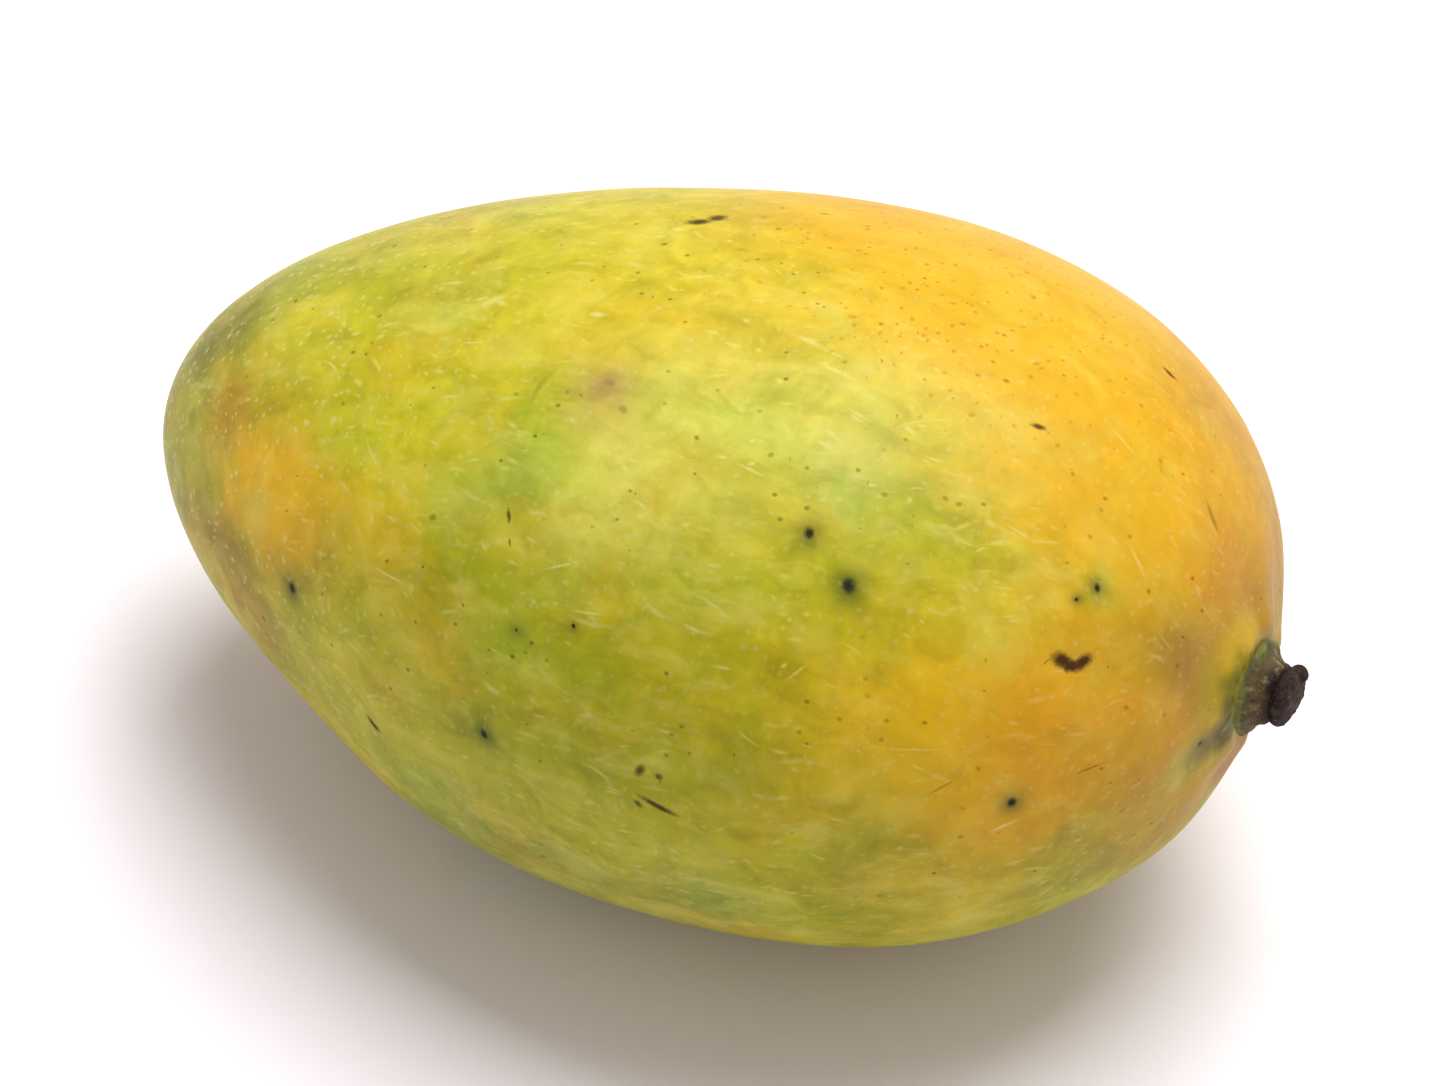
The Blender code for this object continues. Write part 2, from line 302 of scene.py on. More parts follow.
def skin_form():
    """The fine skin's points at rest, normals, angles, quads and texture corners, and the move to rest."""
    directions, quads, texture = ball_grid()
    even = np.arccos(np.clip(directions[:, 0], -1.0, 1.0))
    theta = even - STEM_END_CROWDING * np.sin(even) * np.cos(even / 2.0) ** 2
    psi = np.arctan2(directions[:, 2], directions[:, 1])
    plain = plain_points(theta, psi)
    normals = plain_normals(theta, psi)
    seat = stalk_matrix()
    height = swells(theta, psi) + low_forms(plain) + stem_end(plain, seat.inverted())
    for number, (size, tall) in enumerate(UNEVEN):
        height += tall * drift(plain, size, number + 1)[:, 0]
    formed = plain + normals * height[:, None]
    tip_up = Matrix.Rotation(-REST_PITCH, 4, "Y")
    turned = transform(tip_up, formed)
    low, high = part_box("fruit")
    least, most = turned.min(axis=0), turned.max(axis=0)
    place = (low.x - least[0], (low.y + high.y - least[1] - most[1]) / 2.0, high.z - most[2])
    to_rest = Matrix.Translation(place) @ tip_up
    points = transform(to_rest, formed)
    normals = normals @ np.array(tip_up.to_3x3()).T
    return points, normals, theta, psi, quads, texture, to_rest, seat


# The photograph's camera.


def view_axes():
    """The camera's right, up and back directions."""
    right = Vector((math.cos(CAMERA_AZIMUTH), math.sin(CAMERA_AZIMUTH), 0.0))
    level = Vector((math.sin(CAMERA_AZIMUTH), -math.cos(CAMERA_AZIMUTH), 0.0))
    back = level * math.cos(CAMERA_ELEVATION) + Vector((0.0, 0.0, math.sin(CAMERA_ELEVATION)))
    return right, back.cross(right), back


def seen_at(pixel, tree):
    """The point of the skin that the photograph's camera sees at a pixel."""
    right, up, back = view_axes()
    eye = AIM_POINT + back * CAMERA_DISTANCE
    across = (pixel[0] - AIM_PIXEL[0]) / PIXELS_PER_METRE
    rise = -(pixel[1] - AIM_PIXEL[1]) / PIXELS_PER_METRE
    towards = AIM_POINT + right * across + up * rise - eye
    return tree.ray_cast(eye, towards.normalized())[0]


# Ground colours of the skin.
LIME = srgb("b2ae22")
LEMON = srgb("d2c03c")
CANARY = srgb("dcc33c")
CITRON = srgb("c2b91c")
PALE = srgb("d8d368")
GOLD = srgb("e8b022")
AMBER = srgb("e8a41c")
OCHRE = srgb("dca40e")
HONEY = srgb("bf8c0c")
TAN = srgb("b8802a")
ORANGE = srgb("ecac20")
GRASS = srgb("a8a814")
GREEN = srgb("b4ae1a")
OLIVE = srgb("a89a1a")
# Dark moss green, used only for painted shade at the tip.
MOSS_IN_SHADE = srgb("7a7606")
KELP = srgb("786c00")
YOLK = srgb("d8b004")
MUSTARD = srgb("b49a00")
SAFFRON = srgb("e7b812")
MAIZE = srgb("f0c634")
APRICOT = srgb("f5bc18")
STRAW = srgb("d8cc30")
LEAF = srgb("aab822")
BRONZE = srgb("a88414")
UMBER = srgb("a66c16")
LICHEN = srgb("6a6c1c")
LOAM = srgb("48420a")
FERN = srgb("8c821c")
SAGE = srgb("9ca044")
MINT = srgb("bac362")
SLATE = srgb("5e4b02")
DULL_IN_SHADE = srgb("96722a")

# Patches that the photograph shows, by colour: x and y there in pixels, spread in millimetres, strength.
SEEN_PATCHES = (
    (GOLD, ((1190, 712, 15.0, 1.3), (1110, 670, 11.0, 0.8), (1240, 800, 11.0, 1.2))),
    (OCHRE, ((1160, 668, 6.0, 0.9), (1306, 815, 5.0, 0.9), (1085, 942, 6.0, 0.5), (1165, 975, 6.0, 0.8))),
    (SAFFRON, (
        (1040, 652, 7.0, 1.2), (1125, 905, 7.0, 1.0), (1140, 945, 6.0, 0.8), (1060, 885, 4.5, 0.5),
        (838, 818, 4.5, 0.6),
    )),
    (CITRON, (
        (980, 652, 6.0, 0.9), (1052, 930, 5.0, 0.6), (1065, 830, 4.5, 1.2), (1040, 905, 6.0, 0.9),
        (830, 880, 6.0, 0.8), (1060, 970, 8.0, 1.0),
    )),
    (AMBER, ((1270, 790, 10.5, 1.3), (1205, 925, 9.5, 1.3))),
    (UMBER, ((1300, 850, 6.0, 1.3), (1292, 942, 2.4, 3.0))),
    # The honey patch at (766, 762), beside a neighbouring fruit, is partly painted shade cast by that fruit.
    (HONEY, ((1230, 945, 6.0, 0.8), (1245, 965, 6.0, 0.9), (766, 762, 3.4, 1.1), (1270, 965, 3.5, 1.2))),
    # The bronze patch at (768, 850) is painted shade cast on the tip by a neighbouring fruit; the other two
    # bronze patches are the skin's own colour.
    (BRONZE, ((1240, 880, 5.0, 0.9), (768, 850, 6.0, 1.1), (1245, 985, 4.5, 0.8))),
    (MAIZE, ((1080, 905, 7.0, 0.5),)),
    (CANARY, ((1060, 700, 6.0, 0.8), (1000, 685, 9.0, 1.1), (930, 710, 8.0, 1.1))),
    (LEMON, ((900, 668, 6.0, 0.7), (1140, 770, 7.0, 0.9), (1170, 850, 6.0, 0.9))),
    # The pale patches in the upper middle are partly pale skin and partly a painted highlight where the broad
    # soft light falls.
    (PALE, ((1020, 770, 9.0, 1.2), (960, 800, 7.0, 1.0), (1098, 750, 7.5, 0.7))),
    (APRICOT, ((782, 790, 4.8, 1.9), (800, 815, 4.5, 1.1))),
    (STRAW, ((858, 760, 7.0, 1.3), (812, 722, 6.0, 1.5))),
    (GRASS, (
        (790, 745, 4.0, 1.3), (805, 688, 3.5, 1.1), (945, 905, 9.5, 1.8), (880, 870, 6.0, 0.9),
        (1030, 950, 6.0, 0.9),
    )),
    # The moss patch at the tip's upper edge is painted shade cast by a neighbouring fruit.
    (MOSS_IN_SHADE, ((762, 715, 4.5, 1.6),)),
    (LIME, ((835, 672, 3.5, 1.0), (1015, 850, 9.0, 1.2), (865, 920, 8.0, 1.1), (975, 985, 6.0, 0.9))),
    (MINT, ((880, 705, 4.0, 0.7), (905, 790, 4.5, 0.6), (1090, 800, 4.5, 1.4), (1104, 775, 4.0, 0.8))),
    (LEAF, ((895, 762, 8.0, 1.1), (915, 880, 6.0, 1.2))),
    (GREEN, ((1125, 832, 6.0, 1.5), (1225, 850, 2.5, 1.0))),
    (SAGE, ((900, 985, 7.0, 1.5), (942, 1005, 6.0, 1.1), (1010, 1020, 6.0, 1.2), (1263, 950, 2.2, 1.4))),
    (OLIVE, ((1120, 1005, 8.0, 1.6), (1200, 1000, 6.0, 0.9))),
    (YOLK, ((1301, 878, 1.7, 5.0), (1292, 889, 1.7, 5.0))),
    (MUSTARD, ((1283, 900, 1.9, 4.0), (1281, 914, 1.7, 3.5))),
    (KELP, ((1289, 905, 1.4, 4.0), (1298, 888, 1.0, 3.0))),
    (FERN, ((1311, 881, 0.7, 2.5), (1305, 885, 0.8, 2.5), (1300, 892, 0.8, 2.5))),
    (LICHEN, ((1296.5, 899, 1.0, 8.0), (1294, 907, 0.9, 7.0))),
    (LOAM, ((1292, 915, 1.0, 8.0), (1291.5, 923, 1.0, 7.0))),
    # The dull brown in the shallow dip beside the stalk is partly the skin's own brown and partly painted
    # shade in the dip.
    (DULL_IN_SHADE, ((1264, 890, 3.4, 1.5),)),
    (SLATE, ((1288, 929, 1.5, 4.0), (1280, 934, 1.4, 2.2), (1272, 941, 1.6, 1.3))),
)
# Where golden skin carries many rust-coloured dots: pixel, spread, strength.
RUSTY = (
    ((1105, 675), 0.0150, 1.0),
    ((1150, 725), 0.0110, 0.8),
    ((1035, 655), 0.0080, 0.8),
    ((1240, 760), 0.0130, 0.4),
)
# The same behind: degrees from the stalk end, degrees round, spread, strength.
RUSTY_BEHIND = (60.0, 62.0, 0.0200, 0.8)
RUST_STRENGTH = 0.58
# Patches that the photograph doesn't show, by colour: degrees from the stalk end, degrees round, spread in
# millimetres, strength.
HIDDEN_PATCHES = (
    (GOLD, ((60.0, 60.0, 17.0, 1.5), (70.0, 5.0, 13.0, 1.1))),
    (AMBER, (
        (85.0, 38.0, 12.0, 1.0), (40.0, 20.0, 10.0, 1.2), (16.0, 80.0, 6.0, 1.2), (48.0, -8.0, 8.0, 0.9),
    )),
    (LEMON, ((100.0, 55.0, 12.0, 1.1), (60.0, -40.0, 11.0, 1.0), (75.0, 88.0, 10.0, 0.8))),
    (LIME, ((120.0, 20.0, 11.0, 1.2), (125.0, -70.0, 10.0, 1.0), (110.0, -95.0, 7.0, 0.9))),
    (GREEN, (
        (95.0, -12.0, 10.0, 1.5), (150.0, 70.0, 6.0, 1.3), (65.0, -20.0, 5.0, 0.9),
        (75.0, -80.0, 6.0, 0.8),
    )),
    (GRASS, ((115.0, -30.0, 9.0, 1.4),)),
    (PALE, ((80.0, -55.0, 12.0, 1.2), (70.0, 25.0, 6.0, 0.7))),
    (OLIVE, ((50.0, -75.0, 10.0, 1.2), (140.0, -110.0, 8.0, 1.2), (28.0, -80.0, 6.0, 1.1))),
    (SAGE, ((95.0, -85.0, 12.0, 1.3), (168.0, 60.0, 4.0, 1.2))),
    (ORANGE, ((150.0, 0.0, 6.0, 1.3),)),
    (OCHRE, ((160.0, -60.0, 6.0, 1.2), (25.0, -30.0, 6.0, 1.1))),
    (TAN, (
        (30.0, 45.0, 7.0, 1.1), (14.0, 20.0, 5.0, 1.3), (14.0, 150.0, 4.5, 1.1), (13.0, -90.0, 4.5, 1.0),
    )),
    (HONEY, ((15.0, -40.0, 5.0, 1.1), (45.0, -50.0, 6.0, 0.8))),
    (CITRON, ((105.0, 92.0, 9.0, 0.8), (135.0, 50.0, 7.0, 0.8), (100.0, -50.0, 6.0, 0.8))),
    (MINT, ((110.0, 5.0, 5.0, 0.7), (90.0, 70.0, 4.5, 0.5))),
)
BASE_STRENGTH = 0.16
WARPS = ((0.0150, 0.0050), (0.0050, 0.0024), (0.0022, 0.0010))
WARP_FULL_SPREAD = 0.0090
WARP_SEED = 11


def ground_colours(points, theta, psi, tree, to_rest):
    """The skin's colour at each point: patches that run into each other, with wandering edges."""
    shift = sum(reach * drift(points, size, WARP_SEED + number) for number, (size, reach) in enumerate(WARPS))
    patches = [(seen_at(row[:2], tree), tint, *row[2:]) for tint, rows in SEEN_PATCHES for row in rows]
    for tint, rows in HIDDEN_PATCHES:
        patches += [(to_rest @ Vector(plain_point(*row[:2])), tint, *row[2:]) for row in rows]
    total = np.full(len(points), BASE_STRENGTH)
    colour = np.outer(total, LIME)
    for centre, tint, spread, strength in patches:
        moved = points + shift * min(1.0, spread * MM / WARP_FULL_SPREAD)
        weight = strength * bell(along_rows(moved - np.array(centre)), spread * MM)
        total += weight
        colour += weight[:, None] * tint
    return colour / total[:, None]


# Marks on the skin. Each stroke is an ellipse in its own small frame on the skin, so that its edge stays
# sharp between the mesh's points.
NEAR_MARGIN = 0.0012
DARK_LAYERS = 4
PALE_LAYERS = 5


class Layer:
    """One set of marks that keep clear of each other, as two attributes of the skin's points."""

    def __init__(self, name, count):
        self.name = name
        self.place = np.zeros((count, 3))
        self.tint = np.zeros((count, 4))
        self.taken = np.zeros(count, bool)

    def store(self, mesh):
        """Writes the layer's attributes into the mesh."""
        place = mesh.attributes.new(self.name + "_place", "FLOAT_VECTOR", "POINT")
        place.data.foreach_set("vector", self.place.ravel())
        tint = mesh.attributes.new(self.name + "_tint", "FLOAT_COLOR", "POINT")
        tint.data.foreach_set("color", self.tint.ravel())


class Marker:
    """Lays marks on the skin's points."""

    def __init__(self, points, normals, theta, psi, ground, to_rest):
        self.points = points
        self.normals = normals
        self.ground = ground
        step = 0.01
        ahead = plain_points(np.clip(theta - step, 0.0, math.pi), psi) - plain_points(theta, psi)
        self.along = ahead @ np.array(to_rest.to_3x3()).T
        self.tree = KDTree(len(points))
        for number, point in enumerate(points):
            self.tree.insert(point, number)
        self.tree.balance()
        self.dark = [Layer(f"dark_{n}", len(points)) for n in range(DARK_LAYERS)]
        self.pale = [Layer(f"pale_{n}", len(points)) for n in range(PALE_LAYERS)]
        self.relief = np.zeros(len(points))

    def stroke(self, layers, centre, direction, length, width, colour, strength, bend=0.0, relief=0.0):
        """One ellipse or bent streak, in the first layer that has room for it."""
        half_length, half_width = length / 2.0, width / 2.0
        _, nearest, _ = self.tree.find(centre)
        normal = self.normals[nearest]
        along = np.array(direction) - normal * np.dot(direction, normal)
        along /= np.linalg.norm(along)
        across = np.cross(normal, along)
        found = self.tree.find_range(centre, half_length + NEAR_MARGIN * 1.5)
        ids = np.array([number for _, number, _ in found])
        offset = self.points[ids] - np.array(centre)
        a = offset @ along
        b = offset @ across - bend * (a**2 - half_length**2 / 3.0)
        keep = (np.abs(a) < half_length + NEAR_MARGIN) & (np.abs(b) < half_width + NEAR_MARGIN)
        ids, a, b = ids[keep], a[keep], b[keep]
        for layer in layers:
            if not layer.taken[ids].any():
                layer.taken[ids] = True
                layer.place[ids] = np.stack([a / half_length, b / half_width, np.ones(len(ids))], axis=-1)
                mixed = self.ground[nearest] * (1.0 - strength) + colour * strength
                layer.tint[ids] = [*mixed, 1.0]
                self.relief[ids] += relief * np.exp(-((a / half_length) ** 2) - (b / half_width) ** 2)
                return


# Red over green where skin starts to count as golden, and how much more makes it wholly so.
GOLD_FOR_MARKS = (1.15, 0.50)
GOLD_FOR_MOTTLING = (1.25, 0.45)
PIT = srgb("151c13")
BROWN = srgb("3a1c10")
FLECK = srgb("3f3f16")
RUST = srgb("94500f")
HALO = srgb("6a7a2a")
BRUISE = srgb("a4765c")
# The bruise and its darker core: pixel, width.
BRUISES = (((962, 750), 0.0080), ((963, 745), 0.0036))
BRUISE_STRENGTH = 0.50
HALO_STRENGTH = 0.60
# The stain round a pit, as a share of the pit's width.
STAIN_WIDTH = 1.6
STAIN_STRENGTH = 0.55
PIT_STRETCH = 1.25
PIT_TURN = 100.0
PIT_STRENGTH = 0.92
PIT_RELIEF = -0.00010
SCAR_RELIEF = -0.00006
# The dark marks that the photograph shows. Lengths and widths are in millimetres, and turns are in degrees
# from the picture's +X towards its top. Each dark pit with a green halo: pixel, pit across, halo across.
PITS = {
    "by_tip": ((798, 852), 1.45, 4.6),
    "upper_middle": ((1070, 823), 1.50, 4.2),
    "lower_middle": ((1091, 851), 1.85, 3.8),
    "by_scar": ((1222, 852), 1.05, 3.2),
    "beside_scar": ((1211, 858), 0.55, 1.6),
    "under_side": ((1177, 965), 1.35, 3.4),
    "front_side": ((899, 929), 1.15, 4.6),
    "front_cluster": ((916, 874), 0.42, 2.6),
    "front_upper": ((946, 872), 0.60, 1.6),
    "in_streak": ((1276, 934), 0.70, 1.8),
}
# Each scar stroke: pixel of its middle, length, width, turn, bend (per metre), strength.
SCARS = {
    "vee_left": ((1203.5, 890.6), 3.8, 2.20, -28.0, -60.0, 0.96),
    "vee_right": ((1214.5, 891.2), 3.4, 2.05, 26.0, -60.0, 0.96),
    "vee_middle": ((1208.5, 893.3), 2.8, 1.90, -4.0, 0.0, 0.96),
    "vee_tail": ((1195, 891), 1.6, 0.25, 35.0, 0.0, 0.55),
    "top_dash": ((1012.0, 659), 3.9, 2.00, -8.0, 40.0, 0.92),
    "top_dash_end": ((1022, 657), 2.8, 2.20, 8.0, 0.0, 0.88),
    "gold_dash": ((1191, 767), 2.3, 0.95, -10.0, 0.0, 0.88),
    "rim_dash": ((1260, 739), 2.6, 0.85, -42.0, 0.0, 0.90),
    "rim_smudge": ((1283, 815), 4.8, 0.95, -62.0, 60.0, 0.42),
    "far_dash": ((1079, 655), 2.0, 0.40, -6.0, 0.0, 0.55),
    "hook_blob": ((981, 948), 2.2, 1.45, 55.0, 0.0, 0.80),
    "hook_dot": ((991, 951.5), 1.3, 1.10, 0.0, 0.0, 0.75),
    "hook_stroke": ((991, 967), 6.0, 1.05, -23.0, 22.0, 0.90),
    "hook_foot": ((980, 965.5), 1.7, 0.95, -45.0, 0.0, 0.75),
    "limb_dash": ((841, 924), 3.0, 1.10, -38.0, 60.0, 0.90),
    "tip_dash": ((783, 868), 1.0, 0.60, -50.0, 0.0, 0.80),
    "thin_upright": ((912, 814), 2.1, 0.70, -78.0, 0.0, 0.80),
    "thin_lower": ((912.5, 828), 1.1, 0.42, -80.0, 0.0, 0.65),
    "bruise_core": ((965, 744), 2.0, 1.2, -30.0, 0.0, 0.16),
    "bruise_arc": ((929, 746), 5.4, 0.9, 66.0, -90.0, 0.26),
    "bruise_fleck": ((972, 758), 1.8, 1.1, -40.0, 0.0, 0.32),
    "stem_tick": ((1267, 878), 0.8, 0.4, -20.0, 0.0, 0.55),
    "faint_run": ((1218, 947), 4.0, 0.45, 6.0, 0.0, 0.42),
    "faint_run_left": ((1140, 957), 4.4, 0.42, 33.0, 0.0, 0.36),
}
SCURF_GREEN = srgb("5e642c")
# Each fleck of scurf on the skin against the collar, given as the scars are.
COLLAR_SCURF = (
    ((1308.0, 880.5), 1.2, 0.90, 40.0, 0.0, 0.40),
    ((1302.5, 887.5), 1.4, 0.95, 58.0, 0.0, 0.50),
    ((1299.0, 894.0), 1.0, 0.80, 62.0, 0.0, 0.40),
    ((1295.5, 901.0), 1.6, 1.00, 66.0, 0.0, 0.50),
    ((1293.0, 911.0), 1.3, 0.85, 76.0, 0.0, 0.45),
    ((1291.5, 919.5), 1.4, 0.80, 88.0, 0.0, 0.40),
)
# Small dark flecks: x and y in pixels, width in millimetres.
FLECKS_SEEN = (
    (852, 672, 0.50), (868, 683, 0.45), (906, 678, 0.50), (800, 701, 0.50), (809, 705, 0.40),
    (788, 711, 0.50), (844, 709, 0.55), (840, 723, 0.55), (830, 728, 0.55), (837, 729, 0.40),
    (774, 741, 0.45), (825, 755, 0.45), (916, 750, 0.50), (872, 815, 0.75), (848, 838, 0.45),
    (867, 841, 0.35), (908, 785, 0.40), (926, 772, 0.45), (814, 855, 0.50), (819, 882, 0.45),
    (933, 686, 0.40), (962, 683, 0.45), (956, 690, 0.40), (980, 686, 0.50), (982, 697, 0.50),
    (994, 671, 0.60), (1006, 677, 0.50), (1015, 685, 0.50), (997, 700, 0.40), (1005, 712, 0.40),
    (1034, 674, 0.50), (1043, 679, 0.50), (1044, 650, 0.45), (1056, 652, 0.50), (1054, 663, 0.55),
    (1081, 673, 0.50), (1075, 686, 0.40), (1078, 704, 0.40), (1092, 709, 0.45), (1089, 733, 0.50),
    (1058, 728, 0.40), (1058, 742, 0.45), (1022, 748, 0.50), (996, 738, 0.45), (994, 755, 0.35),
    (1044, 759, 0.45), (1011, 773, 0.50), (1010, 792, 0.35), (1050, 782, 0.55), (1069, 789, 0.45),
    (1052, 803, 0.45), (1055, 816, 0.50), (1069, 810, 0.50), (938, 756, 0.55), (943, 749, 0.50),
    (969, 816, 0.45), (956, 820, 0.35), (976, 801, 0.40), (1108, 713, 0.50), (1120, 694, 0.50),
    (1127, 695, 0.45), (1138, 691, 0.40), (1131, 689, 0.40), (1140, 681, 0.40), (1166, 674, 0.40),
    (1151, 713, 0.55), (1159, 740, 0.50), (1167, 733, 0.50), (1173, 719, 0.45), (1161, 725, 0.40),
    (1156, 761, 0.65), (1174, 743, 0.60), (1187, 741, 0.55), (1237, 742, 0.40), (1245, 756, 0.50),
    (1260, 769, 0.40), (1255, 785, 0.55), (1267, 792, 0.45), (1201, 777, 0.55), (1209, 792, 0.45),
    (1239, 825, 0.50), (1218, 825, 0.50), (1205, 820, 0.40), (1226, 805, 0.45), (1224, 811, 0.45),
    (1162, 808, 0.45), (1149, 808, 0.55), (1142, 805, 0.55), (1110, 803, 0.60), (1096, 790, 0.50),
    (1121, 774, 0.40), (1206, 839, 0.45), (1249, 854, 0.55), (1272, 847, 0.50), (1277, 864, 0.45),
    (1308, 858, 0.45), (1264, 893, 0.60), (1237, 915, 0.55), (1257, 919, 0.45), (1101, 909, 0.55),
    (1100, 900, 0.45), (1098, 878, 0.50), (1111, 922, 0.45), (1131, 923, 0.50), (1108, 932, 0.45),
    (1159, 947, 0.50), (1151, 968, 0.45), (1150, 983, 0.50), (1224, 947, 0.40), (1235, 969, 0.50),
    (1250, 976, 0.45), (1241, 982, 0.40), (1107, 1014, 0.45), (1136, 1002, 0.40), (1189, 1001, 0.40),
    (924, 881, 0.50), (921, 886, 0.45), (914, 888, 0.50), (932, 890, 0.40), (995, 897, 0.50),
    (1003, 925, 0.50), (998, 929, 0.45), (995, 940, 0.45), (1007, 939, 0.45), (1069, 912, 0.50),
    (1086, 921, 0.50), (1065, 928, 0.45), (1069, 934, 0.40), (930, 993, 0.60), (929, 987, 0.45),
    (863, 870, 0.40), (884, 871, 0.45), (888, 861, 0.40), (845, 866, 0.35), (859, 895, 0.50),
    (850, 905, 0.40),
)
FLECK_STRENGTH = (0.32, 0.66)
FLECK_TURN = (-50.0, 10.0)
# A fleck's length and width, as shares of the width that is seen once its edge is softened.
FLECK_LENGTH = 1.7
FLECK_WIDTH = 1.3
FLECK_SEED = 3
# Skin that faces the photograph's camera less than this counts as hidden.
SEEN_FACING = 0.12
HIDDEN_SEED = 20
HIDDEN_FLECKS = 330
HIDDEN_PITS = 11
HIDDEN_SCARS = 9


def picture_direction(turn):
    """The direction on the skin that runs this many degrees from the picture's +X towards its top."""
    right, up, _ = view_axes()
    return right * math.cos(math.radians(turn)) + up * math.sin(math.radians(turn))


def add_halo(marker, centre, across, colour, strength):
    """A soft stain in the ground colour."""
    away = along_rows(marker.points - np.array(centre))
    weight = strength * bell(away, across / 2.0)
    marker.ground[:] = marker.ground * (1.0 - weight[:, None]) + colour * weight[:, None]


def golden_share(colours, start, span):
    """How golden the colours are, from 0 on green skin to 1, by their red against their green."""
    return np.clip((colours[..., 0] / colours[..., 1] - start) / span, 0.0, 1.0)


def fleck_colour(ground):
    """Flecks are rust-brown on golden skin and dark olive on green skin."""
    golden = golden_share(ground, *GOLD_FOR_MARKS)
    return FLECK * (1.0 - golden) + RUST * golden


def seen_strokes(marker, layers, tree, rows, colour, relief=0.0):
    """Strokes that the photograph shows, each from its pixel, length, width, turn, bend and strength."""
    for pixel, length, width, turn, bend, strength in rows:
        place = (seen_at(pixel, tree), picture_direction(turn))
        marker.stroke(layers, *place, length * MM, width * MM, colour, strength, bend, relief)


def seen_marks(marker, tree):
    """The dark marks that the photograph shows."""
    for pixel, across in BRUISES:
        add_halo(marker, seen_at(pixel, tree), across, BRUISE, BRUISE_STRENGTH)
    for pixel, pit, halo in PITS.values():
        centre = seen_at(pixel, tree)
        add_halo(marker, centre, halo * MM, HALO, HALO_STRENGTH)
        add_halo(marker, centre, pit * STAIN_WIDTH * MM, PIT, STAIN_STRENGTH)
    for pixel, pit, halo in PITS.values():
        centre = seen_at(pixel, tree)
        size = (pit * PIT_STRETCH * MM, pit * MM)
        upright = picture_direction(PIT_TURN)
        marker.stroke(marker.dark, centre, upright, *size, PIT, PIT_STRENGTH, relief=PIT_RELIEF)
    seen_strokes(marker, marker.dark, tree, SCARS.values(), BROWN, SCAR_RELIEF)
    seen_strokes(marker, marker.dark, tree, COLLAR_SCURF, SCURF_GREEN)
    draw = random.Random(FLECK_SEED)
    for x, y, across in FLECKS_SEEN:
        centre = seen_at((x, y), tree)
        nearest = marker.tree.find(centre)[1]
        colour = fleck_colour(marker.ground[nearest])
        direction = picture_direction(draw.uniform(*FLECK_TURN))
        strength = draw.uniform(*FLECK_STRENGTH)
        size = (across * FLECK_LENGTH * MM, across * FLECK_WIDTH * MM)
        marker.stroke(marker.dark, centre, direction, *size, colour, strength)


def hidden_marks(marker, seen):
    """Dark marks of the same kinds on the skin that the photograph doesn't show."""
    draw = random.Random(HIDDEN_SEED)
    hidden = np.flatnonzero(~seen)

    def anywhere():
        number = int(hidden[draw.randrange(len(hidden))])
        return number, marker.points[number], marker.along[number]

    for _ in range(HIDDEN_PITS):
        number, centre, along = anywhere()
        across = draw.uniform(0.7, 1.3) * MM
        add_halo(marker, centre, across * draw.uniform(3.0, 4.5), HALO, 0.7)
        marker.stroke(marker.dark, centre, along, across * PIT_STRETCH, across, PIT, 0.9, relief=PIT_RELIEF)
    for _ in range(HIDDEN_SCARS):
        number, centre, along = anywhere()
        side = np.cross(marker.normals[number], along)
        direction = along + side * draw.uniform(-0.8, 0.8)
        length = draw.uniform(1.2, 4.5) * MM
        width = draw.uniform(0.35, 0.75) * MM
        bend = draw.uniform(-60.0, 60.0)
        marker.stroke(marker.dark, centre, direction, length, width, BROWN, draw.uniform(0.6, 0.9), bend)
    for _ in range(HIDDEN_FLECKS):
        number, centre, along = anywhere()
        across = draw.uniform(0.35, 0.65) * MM
        colour = fleck_colour(marker.ground[number])
        strength = draw.uniform(*FLECK_STRENGTH)
        marker.stroke(marker.dark, centre, along, across * 1.4, across * 1.15, colour, strength)


# Pale fibres: short wavy scratches in the wax, that run roughly from end to end.
FIBRE = srgb("ecebab")
FIBRE_SEED = 7
# Their length, a lognormal draw with a longest, and width are in millimetres, and their bend is per metre.
FIBRE_LENGTH = (0.62, 0.50)
FIBRE_LONGEST = 6.0
FIBRE_WIDTH = (0.38, 0.88)
FIBRE_BEND = 70.0
FIBRE_TURN = 0.35
FIBRE_STRENGTH = (0.12, 0.36)
# How far from the stalk the skin's marks and mottling are calmer.
STEM_CALM = 0.0150
FIBRES = 5600
# How large the areas are where fibres crowd together.
CROWD_SIZE = 0.012
CROWD_SEED = 31
